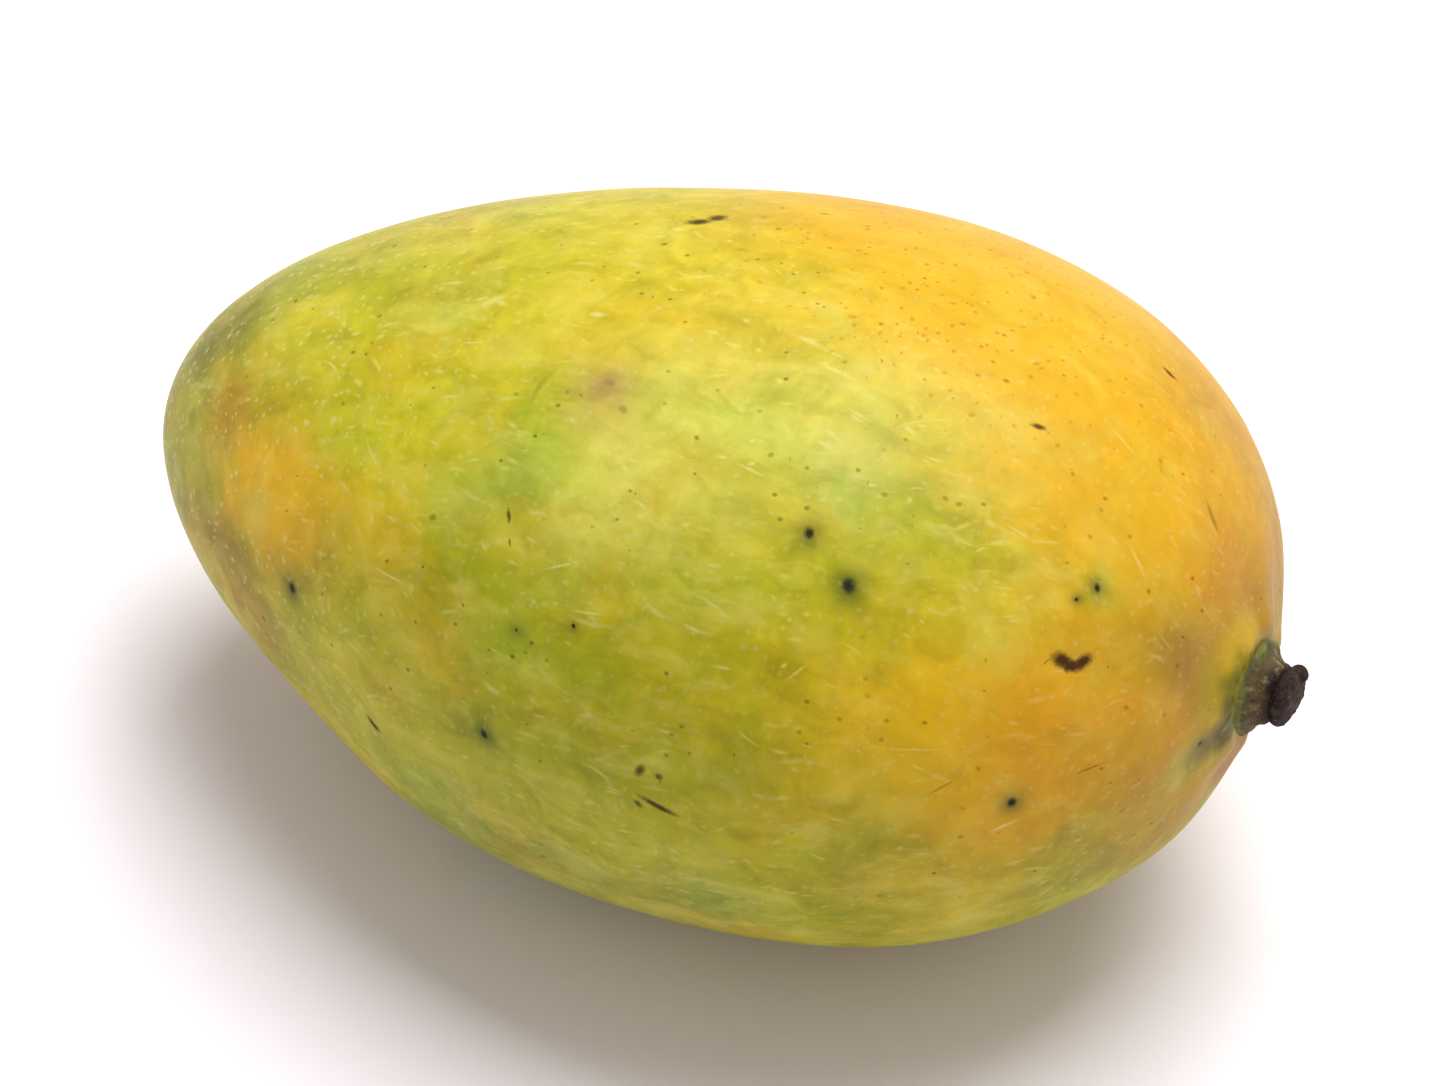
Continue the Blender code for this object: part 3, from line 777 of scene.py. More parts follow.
# Each long pale streak that the photograph shows: pixel, length, width, turn, bend, strength.
STREAKS = {
    "front_long": ((850, 846), 7.0, 0.40, -14.0, 8.0, 0.50),
    "front_short": ((941, 840), 5.6, 0.40, 8.0, 0.0, 0.50),
    "front_curl": ((954, 865), 5.0, 0.42, -6.0, 30.0, 0.50),
    "upper_smear": ((903, 701), 5.0, 1.60, 20.0, 0.0, 0.40),
    "upper_dab": ((959, 708), 2.6, 1.20, -25.0, 0.0, 0.45),
    "dash_dab": ((1001, 663), 1.6, 1.00, 0.0, 0.0, 0.45),
    "dash_dab_low": ((991, 667), 1.6, 0.80, 0.0, 0.0, 0.40),
    "front_hook": ((899, 830), 1.8, 0.50, -50.0, 60.0, 0.45),
    "front_smear": ((903, 905), 3.4, 1.00, -30.0, 0.0, 0.40),
    "under_run": ((1126, 937), 7.5, 0.34, -3.0, 8.0, 0.30),
    "under_dab": ((1173, 977), 4.4, 0.55, 22.0, 0.0, 0.50),
    "gold_run": ((1243, 838), 5.4, 0.70, -58.0, -20.0, 0.26),
    "gold_run_left": ((1180, 822), 4.6, 0.40, -28.0, 20.0, 0.35),
    "gold_fan": ((1236, 775), 5.2, 0.55, -50.0, 0.0, 0.25),
    "limb_run": ((826, 905), 7.0, 0.30, -42.0, 10.0, 0.40),
    "limb_run_low": ((815, 900), 6.0, 0.26, -48.0, 8.0, 0.35),
    # The two rim ridge streaks are pale lines along low ridges that run out from the stalk: painted highlight
    # where the ridges catch the light.
    "rim_ridge": ((1258, 970), 6.0, 0.60, 62.0, -20.0, 0.16),
    "rim_ridge_low": ((1250, 984), 6.0, 0.50, 55.0, -10.0, 0.14),
    "middle_arc": ((1020, 862), 6.0, 0.60, -35.0, -30.0, 0.30),
    "middle_run": ((1040, 790), 5.0, 0.50, -30.0, 10.0, 0.20),
    "shoulder_run": ((1070, 722), 4.6, 0.80, -38.0, 0.0, 0.35),
    "shoulder_run_low": ((1085, 738), 5.6, 0.80, -38.0, 0.0, 0.40),
}


def pale_marks(marker, tree, stem):
    """The pale streaks that the photograph shows, and many finer ones all over."""
    seen_strokes(marker, marker.pale, tree, STREAKS.values(), FIBRE)
    draw = random.Random(FIBRE_SEED)
    crowd = drift(marker.points, CROWD_SIZE, CROWD_SEED)[:, 0] - stem
    for _ in range(FIBRES):
        number = draw.randrange(len(marker.points))
        ground = marker.ground[number]
        golden = golden_share(ground, *GOLD_FOR_MARKS)
        chance = 0.55 + 0.8 * crowd[number] - 0.35 * golden
        if draw.random() > chance:
            continue
        along = marker.along[number]
        side = np.cross(marker.normals[number], along)
        direction = along + side * draw.gauss(0.0, FIBRE_TURN)
        length = min(draw.lognormvariate(*FIBRE_LENGTH), FIBRE_LONGEST) * MM
        width = draw.uniform(*FIBRE_WIDTH) * MM
        bend = draw.gauss(0.0, FIBRE_BEND)
        strength = draw.uniform(*FIBRE_STRENGTH) * (1.0 - 0.4 * golden)
        marker.stroke(marker.pale, marker.points[number], direction, length, width, FIBRE, strength, bend)


# Shader building.


class Nodes:
    """Short names for the nodes of one material."""

    def __init__(self, name):
        self.material = bpy.data.materials.new(name)
        self.material.use_nodes = True
        self.tree = self.material.node_tree
        self.shader = self.tree.nodes["Principled BSDF"]

    def add(self, kind, inputs=None, **settings):
        """A node with settings and inputs; an input is a socket to link or a value."""
        node = self.tree.nodes.new(kind)
        for key, value in settings.items():
            setattr(node, key, value)
        for key, value in (inputs or {}).items():
            self.put(node.inputs[key], value)
        return node

    def put(self, socket, value):
        """Links a socket or sets its value."""
        if isinstance(value, bpy.types.NodeSocket):
            self.tree.links.new(value, socket)
        else:
            socket.default_value = value

    def maths(self, operation, first, second=0.0, third=0.0):
        """One step of arithmetic."""
        return self.add("ShaderNodeMath", {0: first, 1: second, 2: third}, operation=operation).outputs[0]

    def shade(self, inputs):
        """Links or sets inputs of the material's shader."""
        for key, value in inputs.items():
            self.put(self.shader.inputs[key], value)

    def mix(self, factor, first, second, blend="MIX"):
        """Two colours mixed."""
        node = self.add("ShaderNodeMix", data_type="RGBA", blend_type=blend)
        self.put(node.inputs[0], factor)
        self.put(node.inputs[6], first)
        self.put(node.inputs[7], second)
        return node.outputs[2]

    def attribute(self, name, output):
        """An attribute of the mesh."""
        return self.add("ShaderNodeAttribute", attribute_name=name).outputs[output]

    def step(self, value, low, high):
        """0 at low, 1 at high, and an S between them."""
        inputs = {"Value": value, "From Min": low, "From Max": high}
        return self.add("ShaderNodeMapRange", inputs, interpolation_type="SMOOTHSTEP").outputs[0]

    def noise(self, place, scale, detail, rough):
        """Smooth noise, about 0 to 1."""
        inputs = {"Vector": place, "Scale": scale, "Detail": detail, "Roughness": rough}
        return self.add("ShaderNodeTexNoise", inputs).outputs[0]

    def cells(self, place, scale):
        """Scattered cells: distance to the nearest cell's middle, and that cell's random colour."""
        node = self.add("ShaderNodeTexVoronoi", {"Vector": place, "Scale": scale, "Randomness": 1.0})
        return node.outputs["Distance"], node.outputs["Color"]

    def parts(self, vector):
        """The three parts of a vector or colour."""
        return self.add("ShaderNodeSeparateXYZ", {0: vector}).outputs


def rgba(colour):
    """A colour with alpha, for a socket."""
    return (*[float(c) for c in colour], 1.0)


def dots(nodes, place, scale, share, smallest, largest):
    """Scattered round dots, of which only a share is kept: 1 inside a dot, 0 outside."""
    distance, colour = nodes.cells(place, scale)
    random_parts = nodes.parts(colour)
    kept = nodes.maths("LESS_THAN", random_parts[0], share)
    size = nodes.maths("MULTIPLY_ADD", random_parts[1], largest - smallest, smallest)
    reach = nodes.maths("DIVIDE", distance, size)
    return nodes.maths("MULTIPLY", nodes.step(reach, 1.0, 0.35), kept)


def mark_mask(nodes, name, ragged, sharp):
    """How strongly a layer's marks cover each point, and their colour."""
    place = nodes.parts(nodes.attribute(name + "_place", "Vector"))
    flat = nodes.add("ShaderNodeCombineXYZ", {0: place[0], 1: place[1]}).outputs[0]
    reach = nodes.add("ShaderNodeVectorMath", {0: flat}, operation="LENGTH").outputs["Value"]
    reach = nodes.maths("ADD", reach, ragged)
    inside = nodes.step(reach, 1.0, sharp)
    near = nodes.step(place[2], 0.90, 0.99)
    return nodes.maths("MULTIPLY", inside, near), nodes.attribute(name + "_tint", "Color")


def lay_marks(nodes, colour, kind, count, ragged, sharp):
    """The colour with all layers of one kind of mark on it, and how strongly they cover each point."""
    total = 0.0
    for number in range(count):
        mask, tint = mark_mask(nodes, f"{kind}_{number}", ragged, sharp)
        colour = nodes.mix(mask, colour, tint)
        total = nodes.maths("MAXIMUM", total, mask)
    return colour, total


def veins(nodes, place, scale, width, piece_scale, cover):
    """Thin soft lines in short pieces: 1 on a line, 0 off it."""
    field = nodes.noise(place, scale, 1.0, 0.4)
    off_line = nodes.maths("ABSOLUTE", nodes.maths("SUBTRACT", field, 0.5))
    line = nodes.step(off_line, width, 0.0)
    pieces = nodes.step(nodes.noise(place, piece_scale, 1.0, 0.5), cover, cover + 0.14)
    return nodes.maths("MULTIPLY", line, pieces)


def warped(nodes, place, scale, reach):
    """The place moved about by soft noise."""
    soft = nodes.add("ShaderNodeTexNoise", {"Vector": place, "Scale": scale, "Detail": 1.0})
    middle = {0: soft.outputs["Color"], 1: (0.5, 0.5, 0.5)}
    centred = nodes.add("ShaderNodeVectorMath", middle, operation="SUBTRACT")
    shift = nodes.add("ShaderNodeVectorMath", {0: centred.outputs[0], "Scale": reach}, operation="SCALE")
    return nodes.add("ShaderNodeVectorMath", {0: place, 1: shift.outputs[0]}).outputs[0]


# The places that the skin's noises are read at: bent and waved by noise of a scale and a reach, drawn out
# from end to end by a comb, and set aside.
BENT = (130.0, 0.0045)
WAVED = (150.0, 0.0035)
COMB = (0.24, 1.0, 1.0)
VEIN_COMB = (0.22, 1.0, 1.0)
ASIDE = (0.3, 0.2, 0.1)
# Each noise of the skin's mottling: where it is read, scale, detail, roughness.
MOTTLING_NOISES = {
    "clouds": ("bent", 95.0, 4.0, 0.50),
    "hue": ("aside", 75.0, 4.0, 0.50),
    "hue_streaks": ("combed", 150.0, 3.0, 0.50),
    "pebbles": ("bent", 430.0, 3.0, 0.55),
    "streaks": ("combed", 270.0, 4.0, 0.60),
    "haze": ("aside", 220.0, 3.0, 0.50),
}
GREENER = (0.83, 0.97, 0.70)
# The mottling in the order that it is laid on: its noise, the values where it starts and is full, its
# strength, and the change there, as a blend, its share and its colour. It is calmer on golden skin.
MOTTLING = (
    ("clouds", 0.50, 0.34, 0.48, "MULTIPLY", 1.0, (0.72, 0.73, 0.40)),
    ("hue", 0.50, 0.36, 0.52, "MULTIPLY", 1.0, GREENER),
    ("hue", 0.52, 0.66, 0.75, "MIX", 0.45, srgb("d6b11e")),
    ("hue_streaks", 0.50, 0.36, 0.45, "MULTIPLY", 1.0, GREENER),
    ("hue_streaks", 0.52, 0.66, 0.55, "MIX", 0.40, srgb("dcb81e")),
    ("pebbles", 0.50, 0.68, 0.75, "MULTIPLY", 1.0, (1.15, 1.14, 1.22)),
    ("pebbles", 0.50, 0.34, 0.75, "MULTIPLY", 1.0, (0.86, 0.87, 0.72)),
    ("clouds", 0.50, 0.68, 0.80, "MIX", 0.28, srgb("e4d760")),
    ("streaks", 0.50, 0.32, 0.66, "MULTIPLY", 1.0, (0.78, 0.79, 0.50)),
    ("streaks", 0.52, 0.70, 0.80, "MIX", 0.32, srgb("e6db74")),
    ("haze", 0.52, 0.70, 0.26, "MIX", 1.0, srgb("d8cc6a")),
)
# Dots: scale, share of the cells that hold one, smallest and largest as shares of a cell.
LENTICELS = (950.0, 0.62, 0.22, 0.44)
SPECKS = (620.0, 0.16, 0.10, 0.17)
RUST_DOTS = (850.0, 0.62, 0.16, 0.34)
# Veins: scale, width, scale of their pieces, and the noise above which a piece shows.
FINE_VEINS = (330.0, 0.030, 300.0, 0.50)
WIDE_VEINS = (170.0, 0.020, 230.0, 0.52)
LENTICEL = srgb("f0ebb4")
SPECK_GREEN = srgb("5b5a1e")
SPECK_GOLD = srgb("94560f")
RUST_SPECK = srgb("c07418")
# The whole skin is this much deeper than the colours named above.
SKIN_DEPTH = (0.880, 0.885, 0.680, 1.0)


def skin_material():
    """Waxy mango skin: ground colours, mottling, lenticels, fibres, flecks and pits."""
    nodes = Nodes("mango_skin_fine")
    place = nodes.add("ShaderNodeTexCoord").outputs["Object"]
    bent = warped(nodes, place, *BENT)
    combed = nodes.add("ShaderNodeMapping", {"Vector": bent, "Scale": COMB}).outputs[0]
    waved = warped(nodes, place, *WAVED)
    fibred = nodes.add("ShaderNodeMapping", {"Vector": waved, "Scale": VEIN_COMB}).outputs[0]
    aside = nodes.add("ShaderNodeMapping", {"Vector": bent, "Location": ASIDE}).outputs[0]
    gold = nodes.attribute("golden", "Fac")
    green = nodes.maths("SUBTRACT", 1.0, gold)
    tip = nodes.attribute("tip", "Fac")
    away = nodes.maths("MULTIPLY_ADD", nodes.attribute("stem", "Fac"), -0.6, 1.0)
    calm = nodes.maths("MULTIPLY", nodes.maths("MULTIPLY_ADD", green, 0.45, 0.55), away)
    calm = nodes.maths("MAXIMUM", calm, tip)

    colour = nodes.attribute("ground", "Color")
    places = {"bent": bent, "aside": aside, "combed": combed}
    noises = {name: nodes.noise(places[at], *rest) for name, (at, *rest) in MOTTLING_NOISES.items()}
    for name, start, full, strength, blend, part, tint in MOTTLING:
        changed = nodes.mix(part, colour, rgba(tint), blend)
        mask = nodes.maths("MULTIPLY", nodes.step(noises[name], start, full), strength)
        colour = nodes.mix(nodes.maths("MULTIPLY", mask, calm), colour, changed)

    lenticels = dots(nodes, bent, *LENTICELS)
    lenticel_strength = nodes.maths("MULTIPLY_ADD", tip, 0.26, 0.11)
    colour = nodes.mix(nodes.maths("MULTIPLY", lenticels, lenticel_strength), colour, rgba(LENTICEL))

    ragged_noise = nodes.noise(place, 2200.0, 2.0, 0.6)
    ragged = nodes.maths("MULTIPLY", nodes.maths("SUBTRACT", ragged_noise, 0.5), 0.9)
    fine_veins = veins(nodes, fibred, *FINE_VEINS)
    wide_veins = veins(nodes, fibred, *WIDE_VEINS)
    vein_strength = nodes.maths("MULTIPLY_ADD", green, 0.05, 0.03)
    all_veins = nodes.maths("MAXIMUM", fine_veins, wide_veins)
    colour = nodes.mix(nodes.maths("MULTIPLY", all_veins, vein_strength), colour, rgba(FIBRE))
    colour, pale_total = lay_marks(nodes, colour, "pale", PALE_LAYERS, ragged, 0.0)

    specks = dots(nodes, bent, *SPECKS)
    speck_colour = nodes.mix(gold, rgba(SPECK_GREEN), rgba(SPECK_GOLD))
    colour = nodes.mix(nodes.maths("MULTIPLY", specks, 0.62), colour, speck_colour)
    rust_specks = dots(nodes, bent, *RUST_DOTS)
    rust_strength = nodes.maths("MULTIPLY", rust_specks, nodes.attribute("rusty", "Fac"))
    colour = nodes.mix(rust_strength, colour, rgba(RUST_SPECK))

    less_ragged = nodes.maths("MULTIPLY", ragged, 0.60)
    colour, dark_total = lay_marks(nodes, colour, "dark", DARK_LAYERS, less_ragged, 0.25)

    grain = nodes.noise(place, 1900.0, 2.0, 0.5)
    height = 0.0
    for field, part in ((grain, 0.50), (lenticels, 0.35), (pale_total, 0.30), (dark_total, -0.90)):
        height = nodes.maths("MULTIPLY_ADD", field, part, height)
    bump = nodes.add("ShaderNodeBump", {"Height": height, "Distance": 0.00006, "Strength": 0.38})

    rough = nodes.maths("MULTIPLY_ADD", noises["clouds"], 0.16, 0.42)
    rough = nodes.maths("MULTIPLY_ADD", dark_total, 0.25, rough)
    colour = nodes.mix(1.0, colour, SKIN_DEPTH, "MULTIPLY")
    finish = {"Specular IOR Level": 0.15, "Coat Weight": 0.05, "Coat Roughness": 0.34}
    nodes.shade({"Base Color": colour, "Roughness": rough, "Normal": bump.outputs[0], **finish})
    return nodes.material


def build_skin():
    """The fine skin that stands for the plain fruit solid."""
    points, normals, theta, psi, quads, texture, to_rest, seat = skin_form()
    tree = BVHTree.FromPolygons([Vector(p) for p in points], quads.tolist())
    ground = ground_colours(points, theta, psi, tree, to_rest)
    marker = Marker(points, normals, theta, psi, ground, to_rest)
    eye = np.array(AIM_POINT + view_axes()[2] * CAMERA_DISTANCE)
    towards = eye - points
    facing = (towards * normals).sum(axis=1) / along_rows(towards)
    seen_marks(marker, tree)
    hidden_marks(marker, facing > SEEN_FACING)
    stem = bell(along_rows(points - np.array((to_rest @ seat).translation)), STEM_CALM)
    pale_marks(marker, tree, stem)
    points = points + normals * marker.relief[:, None]
    points[:, 2] = np.maximum(points[:, 2], 0.0)

    skin = make_mesh("skin", points, quads.tolist())
    mesh = skin.data
    colours = mesh.attributes.new("ground", "FLOAT_COLOR", "POINT")
    colours.data.foreach_set("color", np.column_stack([marker.ground, np.ones(len(points))]).ravel())
    golden = golden_share(marker.ground, *GOLD_FOR_MOTTLING)
    tip = smooth_step((theta - math.radians(95.0)) / math.radians(45.0))
    rusty = np.zeros(len(points))
    for pixel, spread, strength in RUSTY:
        rusty += strength * bell(along_rows(points - np.array(seen_at(pixel, tree))), spread)
    theta_at, psi_at, spread, strength = RUSTY_BEHIND
    behind = to_rest @ Vector(plain_point(theta_at, psi_at))
    rusty += strength * bell(along_rows(points - np.array(behind)), spread)
    rusty = np.clip(rusty, 0.0, 1.0) * RUST_STRENGTH
    store_values(mesh, golden=golden, tip=tip, rusty=rusty, stem=stem)
    for layer in (*marker.dark, *marker.pale):
        layer.store(mesh)
    atlas = mesh.uv_layers.new(name="OFBake")
    atlas.data.foreach_set("uv", texture.reshape(-1))
    mesh.materials.append(skin_material())
    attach(skin, "root")
    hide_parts("fruit")
    return to_rest @ seat


# The stub's mesh.
STUB_SEGMENTS = 96
STUB_STEP = 0.00012
STUB_FOOT = -0.0012
STUB_VOXEL = 0.00013
# Each ring of the dark end, from its domed middle down: share of its radius, share of its height.
FINE_END = ((0.0, 1.34), (0.30, 1.32), (0.60, 1.22), (0.84, 1.04), (0.97, 0.84), (1.04, 0.56), (1.0, 0.30))
# The fine stub's height as a share of the plain one's.
STUB_SQUEEZE = 0.93
# Each wave of the collar's rim: corners round it, phase, share of its radius.
RIM_WAVES = ((4.0, 0.7, 0.020), (9.0, 2.0, 0.016), (17.0, 1.1, 0.009))
EAR_SEGMENTS = 24
EAR_RINGS = 13
# How much further out and up the fine ear stands.
EAR_OUT = 0.00020
EAR_UP = 0.00022
FINE_FLARE = ((0.06, 0.80), (0.16, 0.62), (0.36, 0.42), (0.62, 0.26), (0.86, 0.13))
# The crease that runs round the collar: share of the stub's height, its wobble, its width, its depth.
COLLAR_CREASE = 0.115
CREASE_WOBBLE = 0.20
CREASE_WIDTH = 0.045
COLLAR_CREASE_DEPTH = 0.00008
SCURF = ((0.00070, 0.00018), (0.00028, 0.00008))
# The scurf runs along the stub: what it is scaled by, and its seed.
SCURF_SCALE = (1.0, 1.0, 0.45)
SCURF_SEED = 51
CREASE_SIZE = 0.0030
CREASE_SEED = 57
# The dark end and its broken face: the share of the stub's height where each starts, and how soon it is full.
DARK_END = (0.60, 0.06)
BROKEN_FACE = (0.80, 0.10)
BREAK_ROUGHNESS = 0.00010
BREAK_SIZE = 0.00045
BREAK_SEED = 61


def stub_profile():
    """The stub's (radius, height) line from the middle of its broken end to its foot, in short steps."""
    rings = [(END_RADIUS * out, COLLAR_HEIGHT + END_HEIGHT * up) for out, up in FINE_END]
    rings += [(NECK_RADIUS - GROOVE_DEPTH, COLLAR_HEIGHT + GROOVE_DEPTH / 2.0)]
    rings += [(NECK_RADIUS, COLLAR_HEIGHT - GROOVE_DEPTH / 2.0)]
    flare = COLLAR_RADIUS - NECK_RADIUS
    rings += [(NECK_RADIUS + flare * out, COLLAR_HEIGHT * up) for out, up in FINE_FLARE]
    rings += [(COLLAR_RADIUS, 0.0), (COLLAR_RADIUS * 0.94, STUB_FOOT)]
    line = [np.array(rings[0])]
    for start, end in zip(rings, rings[1:]):
        start, end = np.array(start), np.array(end)
        count = max(1, round(np.linalg.norm(end - start) / STUB_STEP))
        line += [start + (end - start) * (n + 1) / count for n in range(count)]
    return np.array(line)


def turned_body(radius, height, top, foot, segments):
    """Points and faces of a closed turned body: rings, with one point at its top and one at its foot."""
    turns = np.linspace(0.0, 2.0 * math.pi, segments, endpoint=False)
    x = radius[:, None] * np.cos(turns)
    y = radius[:, None] * np.sin(turns)
    z = np.repeat(height[:, None], segments, axis=1)
    rings = np.stack([x, y, z], axis=-1).reshape(-1, 3)
    points = np.concatenate([[(0.0, 0.0, top)], rings, [(0.0, 0.0, foot)]])
    last_ring = 1 + (len(radius) - 1) * segments
    faces = []
    for segment in range(segments):
        following = (segment + 1) % segments
        faces.append([0, 1 + segment, 1 + following])
        for high in range(1, last_ring, segments):
            low = high + segments
            faces.append([high + segment, low + segment, low + following, high + following])
        faces.append([last_ring + following, last_ring + segment, last_ring + segments])
    return points, faces


def stub_body():
    """Points and faces of the turned stub, closed at its foot, with its lumps and curl."""
    line = stub_profile()
    points, faces = turned_body(line[1:, 0], line[1:, 1], line[0, 1], STUB_FOOT, STUB_SEGMENTS)
    above = smooth_step(points[:, 2] / COLLAR_HEIGHT)
    round_it = np.arctan2(points[:, 1], points[:, 0])
    lump = sum(s * np.cos(n * round_it + twist * points[:, 2] + p) for n, twist, p, s in LUMPS)
    rim = sum(s * np.cos(n * round_it + p) for n, p, s in RIM_WAVES)
    points[:, :2] *= (1.0 + STALK_LUMP * above * lump + (1.0 - above) * rim)[:, None]
    points[:, 1] += STALK_CURL * np.maximum(points[:, 2], 0.0)
    points[:, 2] *= STUB_SQUEEZE
    return points, faces


def ear():
    """Points and faces of the small ear on the broken end's rim."""
    polar = np.linspace(0.0, math.pi, EAR_RINGS + 2)[1:-1]
    ball, faces = turned_body(np.sin(polar), np.cos(polar), 1.0, -1.0, EAR_SEGMENTS)
    ball *= KNOB_RADIUS * np.array((KNOB_STRETCH, 1.0, KNOB_STRETCH))
    out = KNOB_OFFSET + EAR_OUT
    place = (math.cos(KNOB_ANGLE) * out, math.sin(KNOB_ANGLE) * out, KNOB_RISE * STUB_SQUEEZE + EAR_UP)
    return transform(Matrix.Rotation(KNOB_ANGLE, 4, "Z"), ball) + place, faces


def build_stub(to_world):
    """The fine stub that stands for the plain stalk solid."""
    body_points, body_faces = stub_body()
    ear_points, ear_faces = ear()
    shifted = [[index + len(body_points) for index in face] for face in ear_faces]
    rough = make_mesh("stub_rough", np.concatenate([body_points, ear_points]), body_faces + shifted)
    remesh = rough.modifiers.new("merge", "REMESH")
    remesh.mode = "VOXEL"
    remesh.voxel_size = STUB_VOXEL
    remesh.use_smooth_shade = True
    bpy.context.view_layer.update()
    merged = bpy.data.meshes.new_from_object(rough.evaluated_get(bpy.context.evaluated_depsgraph_get()))
    bpy.data.objects.remove(rough, do_unlink=True)

    count = len(merged.vertices)
    points = np.empty(count * 3)
    merged.vertices.foreach_get("co", points)
    points = points.reshape(-1, 3)
    normals = np.empty(count * 3, np.float32)
    merged.vertex_normals.foreach_get("vector", normals)
    normals = normals.reshape(-1, 3).astype(float)
    rise = points[:, 2] / STUB_SQUEEZE / (COLLAR_HEIGHT + END_HEIGHT)
    dark = smooth_step((rise - DARK_END[0]) / DARK_END[1])
    squeezed = points * SCURF_SCALE
    height = np.zeros(count)
    for number, (size, tall) in enumerate(SCURF):
        ridges = np.abs(drift(squeezed, size, SCURF_SEED + number)[:, 0])
        height += tall * (0.35 - ridges) * (1.0 - 0.65 * dark)
    # The scurf's relief, which the bark's colour darkens in its grooves as painted shade.
    crack = height / SCURF[0][1]
    wobble = CREASE_WOBBLE * drift(points * (1.0, 1.0, 0.0), CREASE_SIZE, CREASE_SEED)[:, 0]
    crease = bell(rise - COLLAR_CREASE - wobble, CREASE_WIDTH)
    height -= COLLAR_CREASE_DEPTH * crease
    end = smooth_step((rise - BROKEN_FACE[0]) / BROKEN_FACE[1])
    face = smooth_step((normals[:, 2] - 0.45) / 0.4) * end
    height += BREAK_ROUGHNESS * face * drift(points, BREAK_SIZE, BREAK_SEED)[:, 0]
    moved = points + normals * height[:, None]
    merged.vertices.foreach_set("co", transform(to_world, moved).ravel())
    merged.update()
    merged.shade_smooth()
    merged.name = "stub"
    stub = add_object("stub", merged)
    store_values(merged, rise=rise - wobble, crack=crack, crease=crease)
    merged.materials.clear()
    merged.materials.append(bark_material())
    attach(stub, "root")
    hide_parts("stalk")


# The bark's colours up the stub, by the share of its height. The darkest stop, at 0.66, lies at the groove
# under the dark end and the end's lower rim: painted shade there, over the end's own near-black brown.
BARK_STOPS = (
    (0.00, srgb("6a6c30")),
    (0.06, srgb("5e6036")),
    (0.13, srgb("54502f")),
    (0.22, srgb("5e5234")),
    (0.42, srgb("4a3c27")),
    (0.57, srgb("2c2017")),
    # Painted shade in the groove and under the end's rim.
    (0.66, srgb("180f0d")),
    (0.82, srgb("231613")),
    (1.00, srgb("2e1e1a")),
)
PALE_BARK_HIGH = srgb("6e5c52")
PALE_BARK_LOW = srgb("8e8256")
# Colours of painted shade: in the scurf's grooves, and in the crease round the collar.
CRACK_SHADE = srgb("1c1511")
CREASE_SHADE = srgb("231d12")


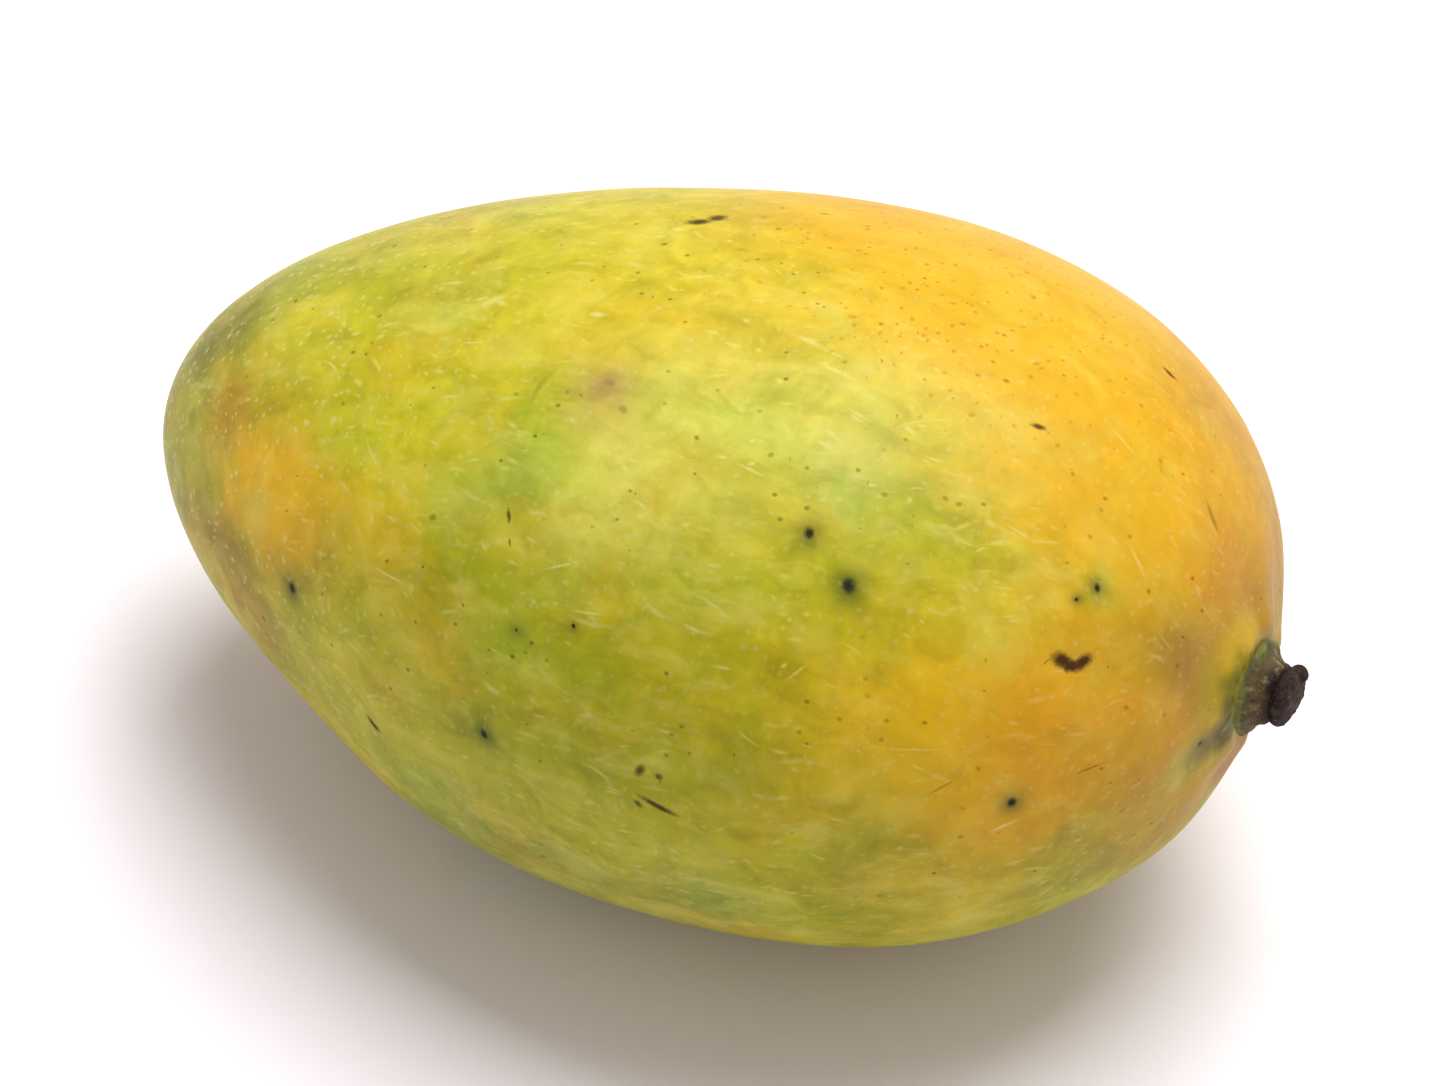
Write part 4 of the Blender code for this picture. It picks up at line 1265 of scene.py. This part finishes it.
def bark_material():
    """Dry scurfy bark on the collar, and the nearly black broken end above it, with painted shade in the
    scurf's grooves and the collar's crease.
    """
    nodes = Nodes("stalk_bark_fine")
    place = nodes.add("ShaderNodeTexCoord").outputs["Object"]
    rise = nodes.attribute("rise", "Fac")
    wander = nodes.noise(place, 600.0, 5.0, 0.65)
    level = nodes.maths("ADD", rise, nodes.maths("MULTIPLY", nodes.maths("SUBTRACT", wander, 0.5), 0.36))
    ramp = nodes.add("ShaderNodeValToRGB", {"Fac": level})
    elements = ramp.color_ramp.elements
    while len(elements) < len(BARK_STOPS):
        elements.new(0.5)
    for element, (position, tint) in zip(elements, BARK_STOPS):
        element.position = position
        element.color = rgba(tint)
    colour = ramp.outputs[0]
    patches = nodes.noise(place, 700.0, 3.0, 0.6)
    low = nodes.step(rise, 0.62, 0.48)
    pale_strength = nodes.maths("MULTIPLY_ADD", low, 0.42, 0.32)
    pale = nodes.maths("MULTIPLY", nodes.step(patches, 0.50, 0.68), pale_strength)
    pale_bark = nodes.mix(low, rgba(PALE_BARK_HIGH), rgba(PALE_BARK_LOW))
    colour = nodes.mix(pale, colour, pale_bark)
    scurf = nodes.noise(place, 2400.0, 4.0, 0.7)
    flakes = nodes.maths("MULTIPLY", nodes.step(scurf, 0.52, 0.70), 0.35)
    colour = nodes.mix(flakes, colour, pale_bark)
    # Darker in the scurf's grooves, by their depth: painted shade.
    crack = nodes.maths("MULTIPLY", nodes.step(nodes.attribute("crack", "Fac"), 0.0, -0.6), 0.75)
    colour = nodes.mix(crack, colour, rgba(CRACK_SHADE))
    # A little darker along the crease round the collar: painted shade in the crease.
    crease = nodes.maths("MULTIPLY", nodes.attribute("crease", "Fac"), 0.12)
    colour = nodes.mix(crease, colour, rgba(CREASE_SHADE))
    bump = nodes.add("ShaderNodeBump", {"Height": scurf, "Distance": 0.00012, "Strength": 0.8})
    rough = nodes.maths("MULTIPLY_ADD", scurf, 0.25, 0.60)
    look = {"Base Color": colour, "Roughness": rough, "Normal": bump.outputs[0]}
    nodes.shade({**look, "Specular IOR Level": 0.18})
    return nodes.material


# The studio.
FLOOR_SIZE = 8.0
FLOOR_COLOUR = (0.96, 0.93, 0.985, 1.0)
KEY_PLACE = Vector((0.09, 0.35, 1.13))
KEY_SIZE = 0.85
KEY_POWER = 15.8
KEY_COLOUR = (1.0, 1.0, 0.99)
SKY = 0.49
SKY_TINT = (1.0, 0.915, 0.945)


def build_studio():
    """A white floor, a large soft light above and white light from all round."""
    half = FLOOR_SIZE / 2.0
    corners = np.array([(-half, -half, 0.0), (half, -half, 0.0), (half, half, 0.0), (-half, half, 0.0)])
    floor = make_mesh("floor", corners, [[0, 1, 2, 3]])
    nodes = Nodes("studio_floor")
    nodes.shade({"Base Color": FLOOR_COLOUR, "Roughness": 0.9, "Specular IOR Level": 0.1})
    floor.data.materials.append(nodes.material)

    light = bpy.data.lights.new("key", "AREA")
    light.shape = "SQUARE"
    light.size = KEY_SIZE
    light.energy = KEY_POWER
    light.color = KEY_COLOUR
    key = add_object("key", light)
    key.location = KEY_PLACE
    key.rotation_euler = (AIM_POINT - KEY_PLACE).to_track_quat("-Z", "Y").to_euler()

    world = bpy.data.worlds.new("studio")
    world.use_nodes = True
    background = world.node_tree.nodes["Background"]
    background.inputs["Color"].default_value = (*SKY_TINT, 1.0)
    background.inputs["Strength"].default_value = SKY
    bpy.context.scene.world = world
    bpy.context.scene.view_settings.view_transform = "Standard"


def build_camera():
    """The photograph's viewing place and direction, framed closer on the one fruit."""
    right, up, back = view_axes()
    data = bpy.data.cameras.new("camera")
    data.sensor_width = SENSOR_WIDTH
    data.lens = SENSOR_WIDTH * PIXELS_PER_METRE * CAMERA_DISTANCE * FRAME_ZOOM / PHOTO_WIDTH
    data.clip_start = 0.05
    data.clip_end = 50.0
    camera = add_object("camera", data)
    camera.location = AIM_POINT + back * CAMERA_DISTANCE
    camera.rotation_euler = Matrix((right, up, back)).transposed().to_euler()
    bpy.context.scene.camera = camera


build_stub(build_skin())
build_studio()
build_camera()
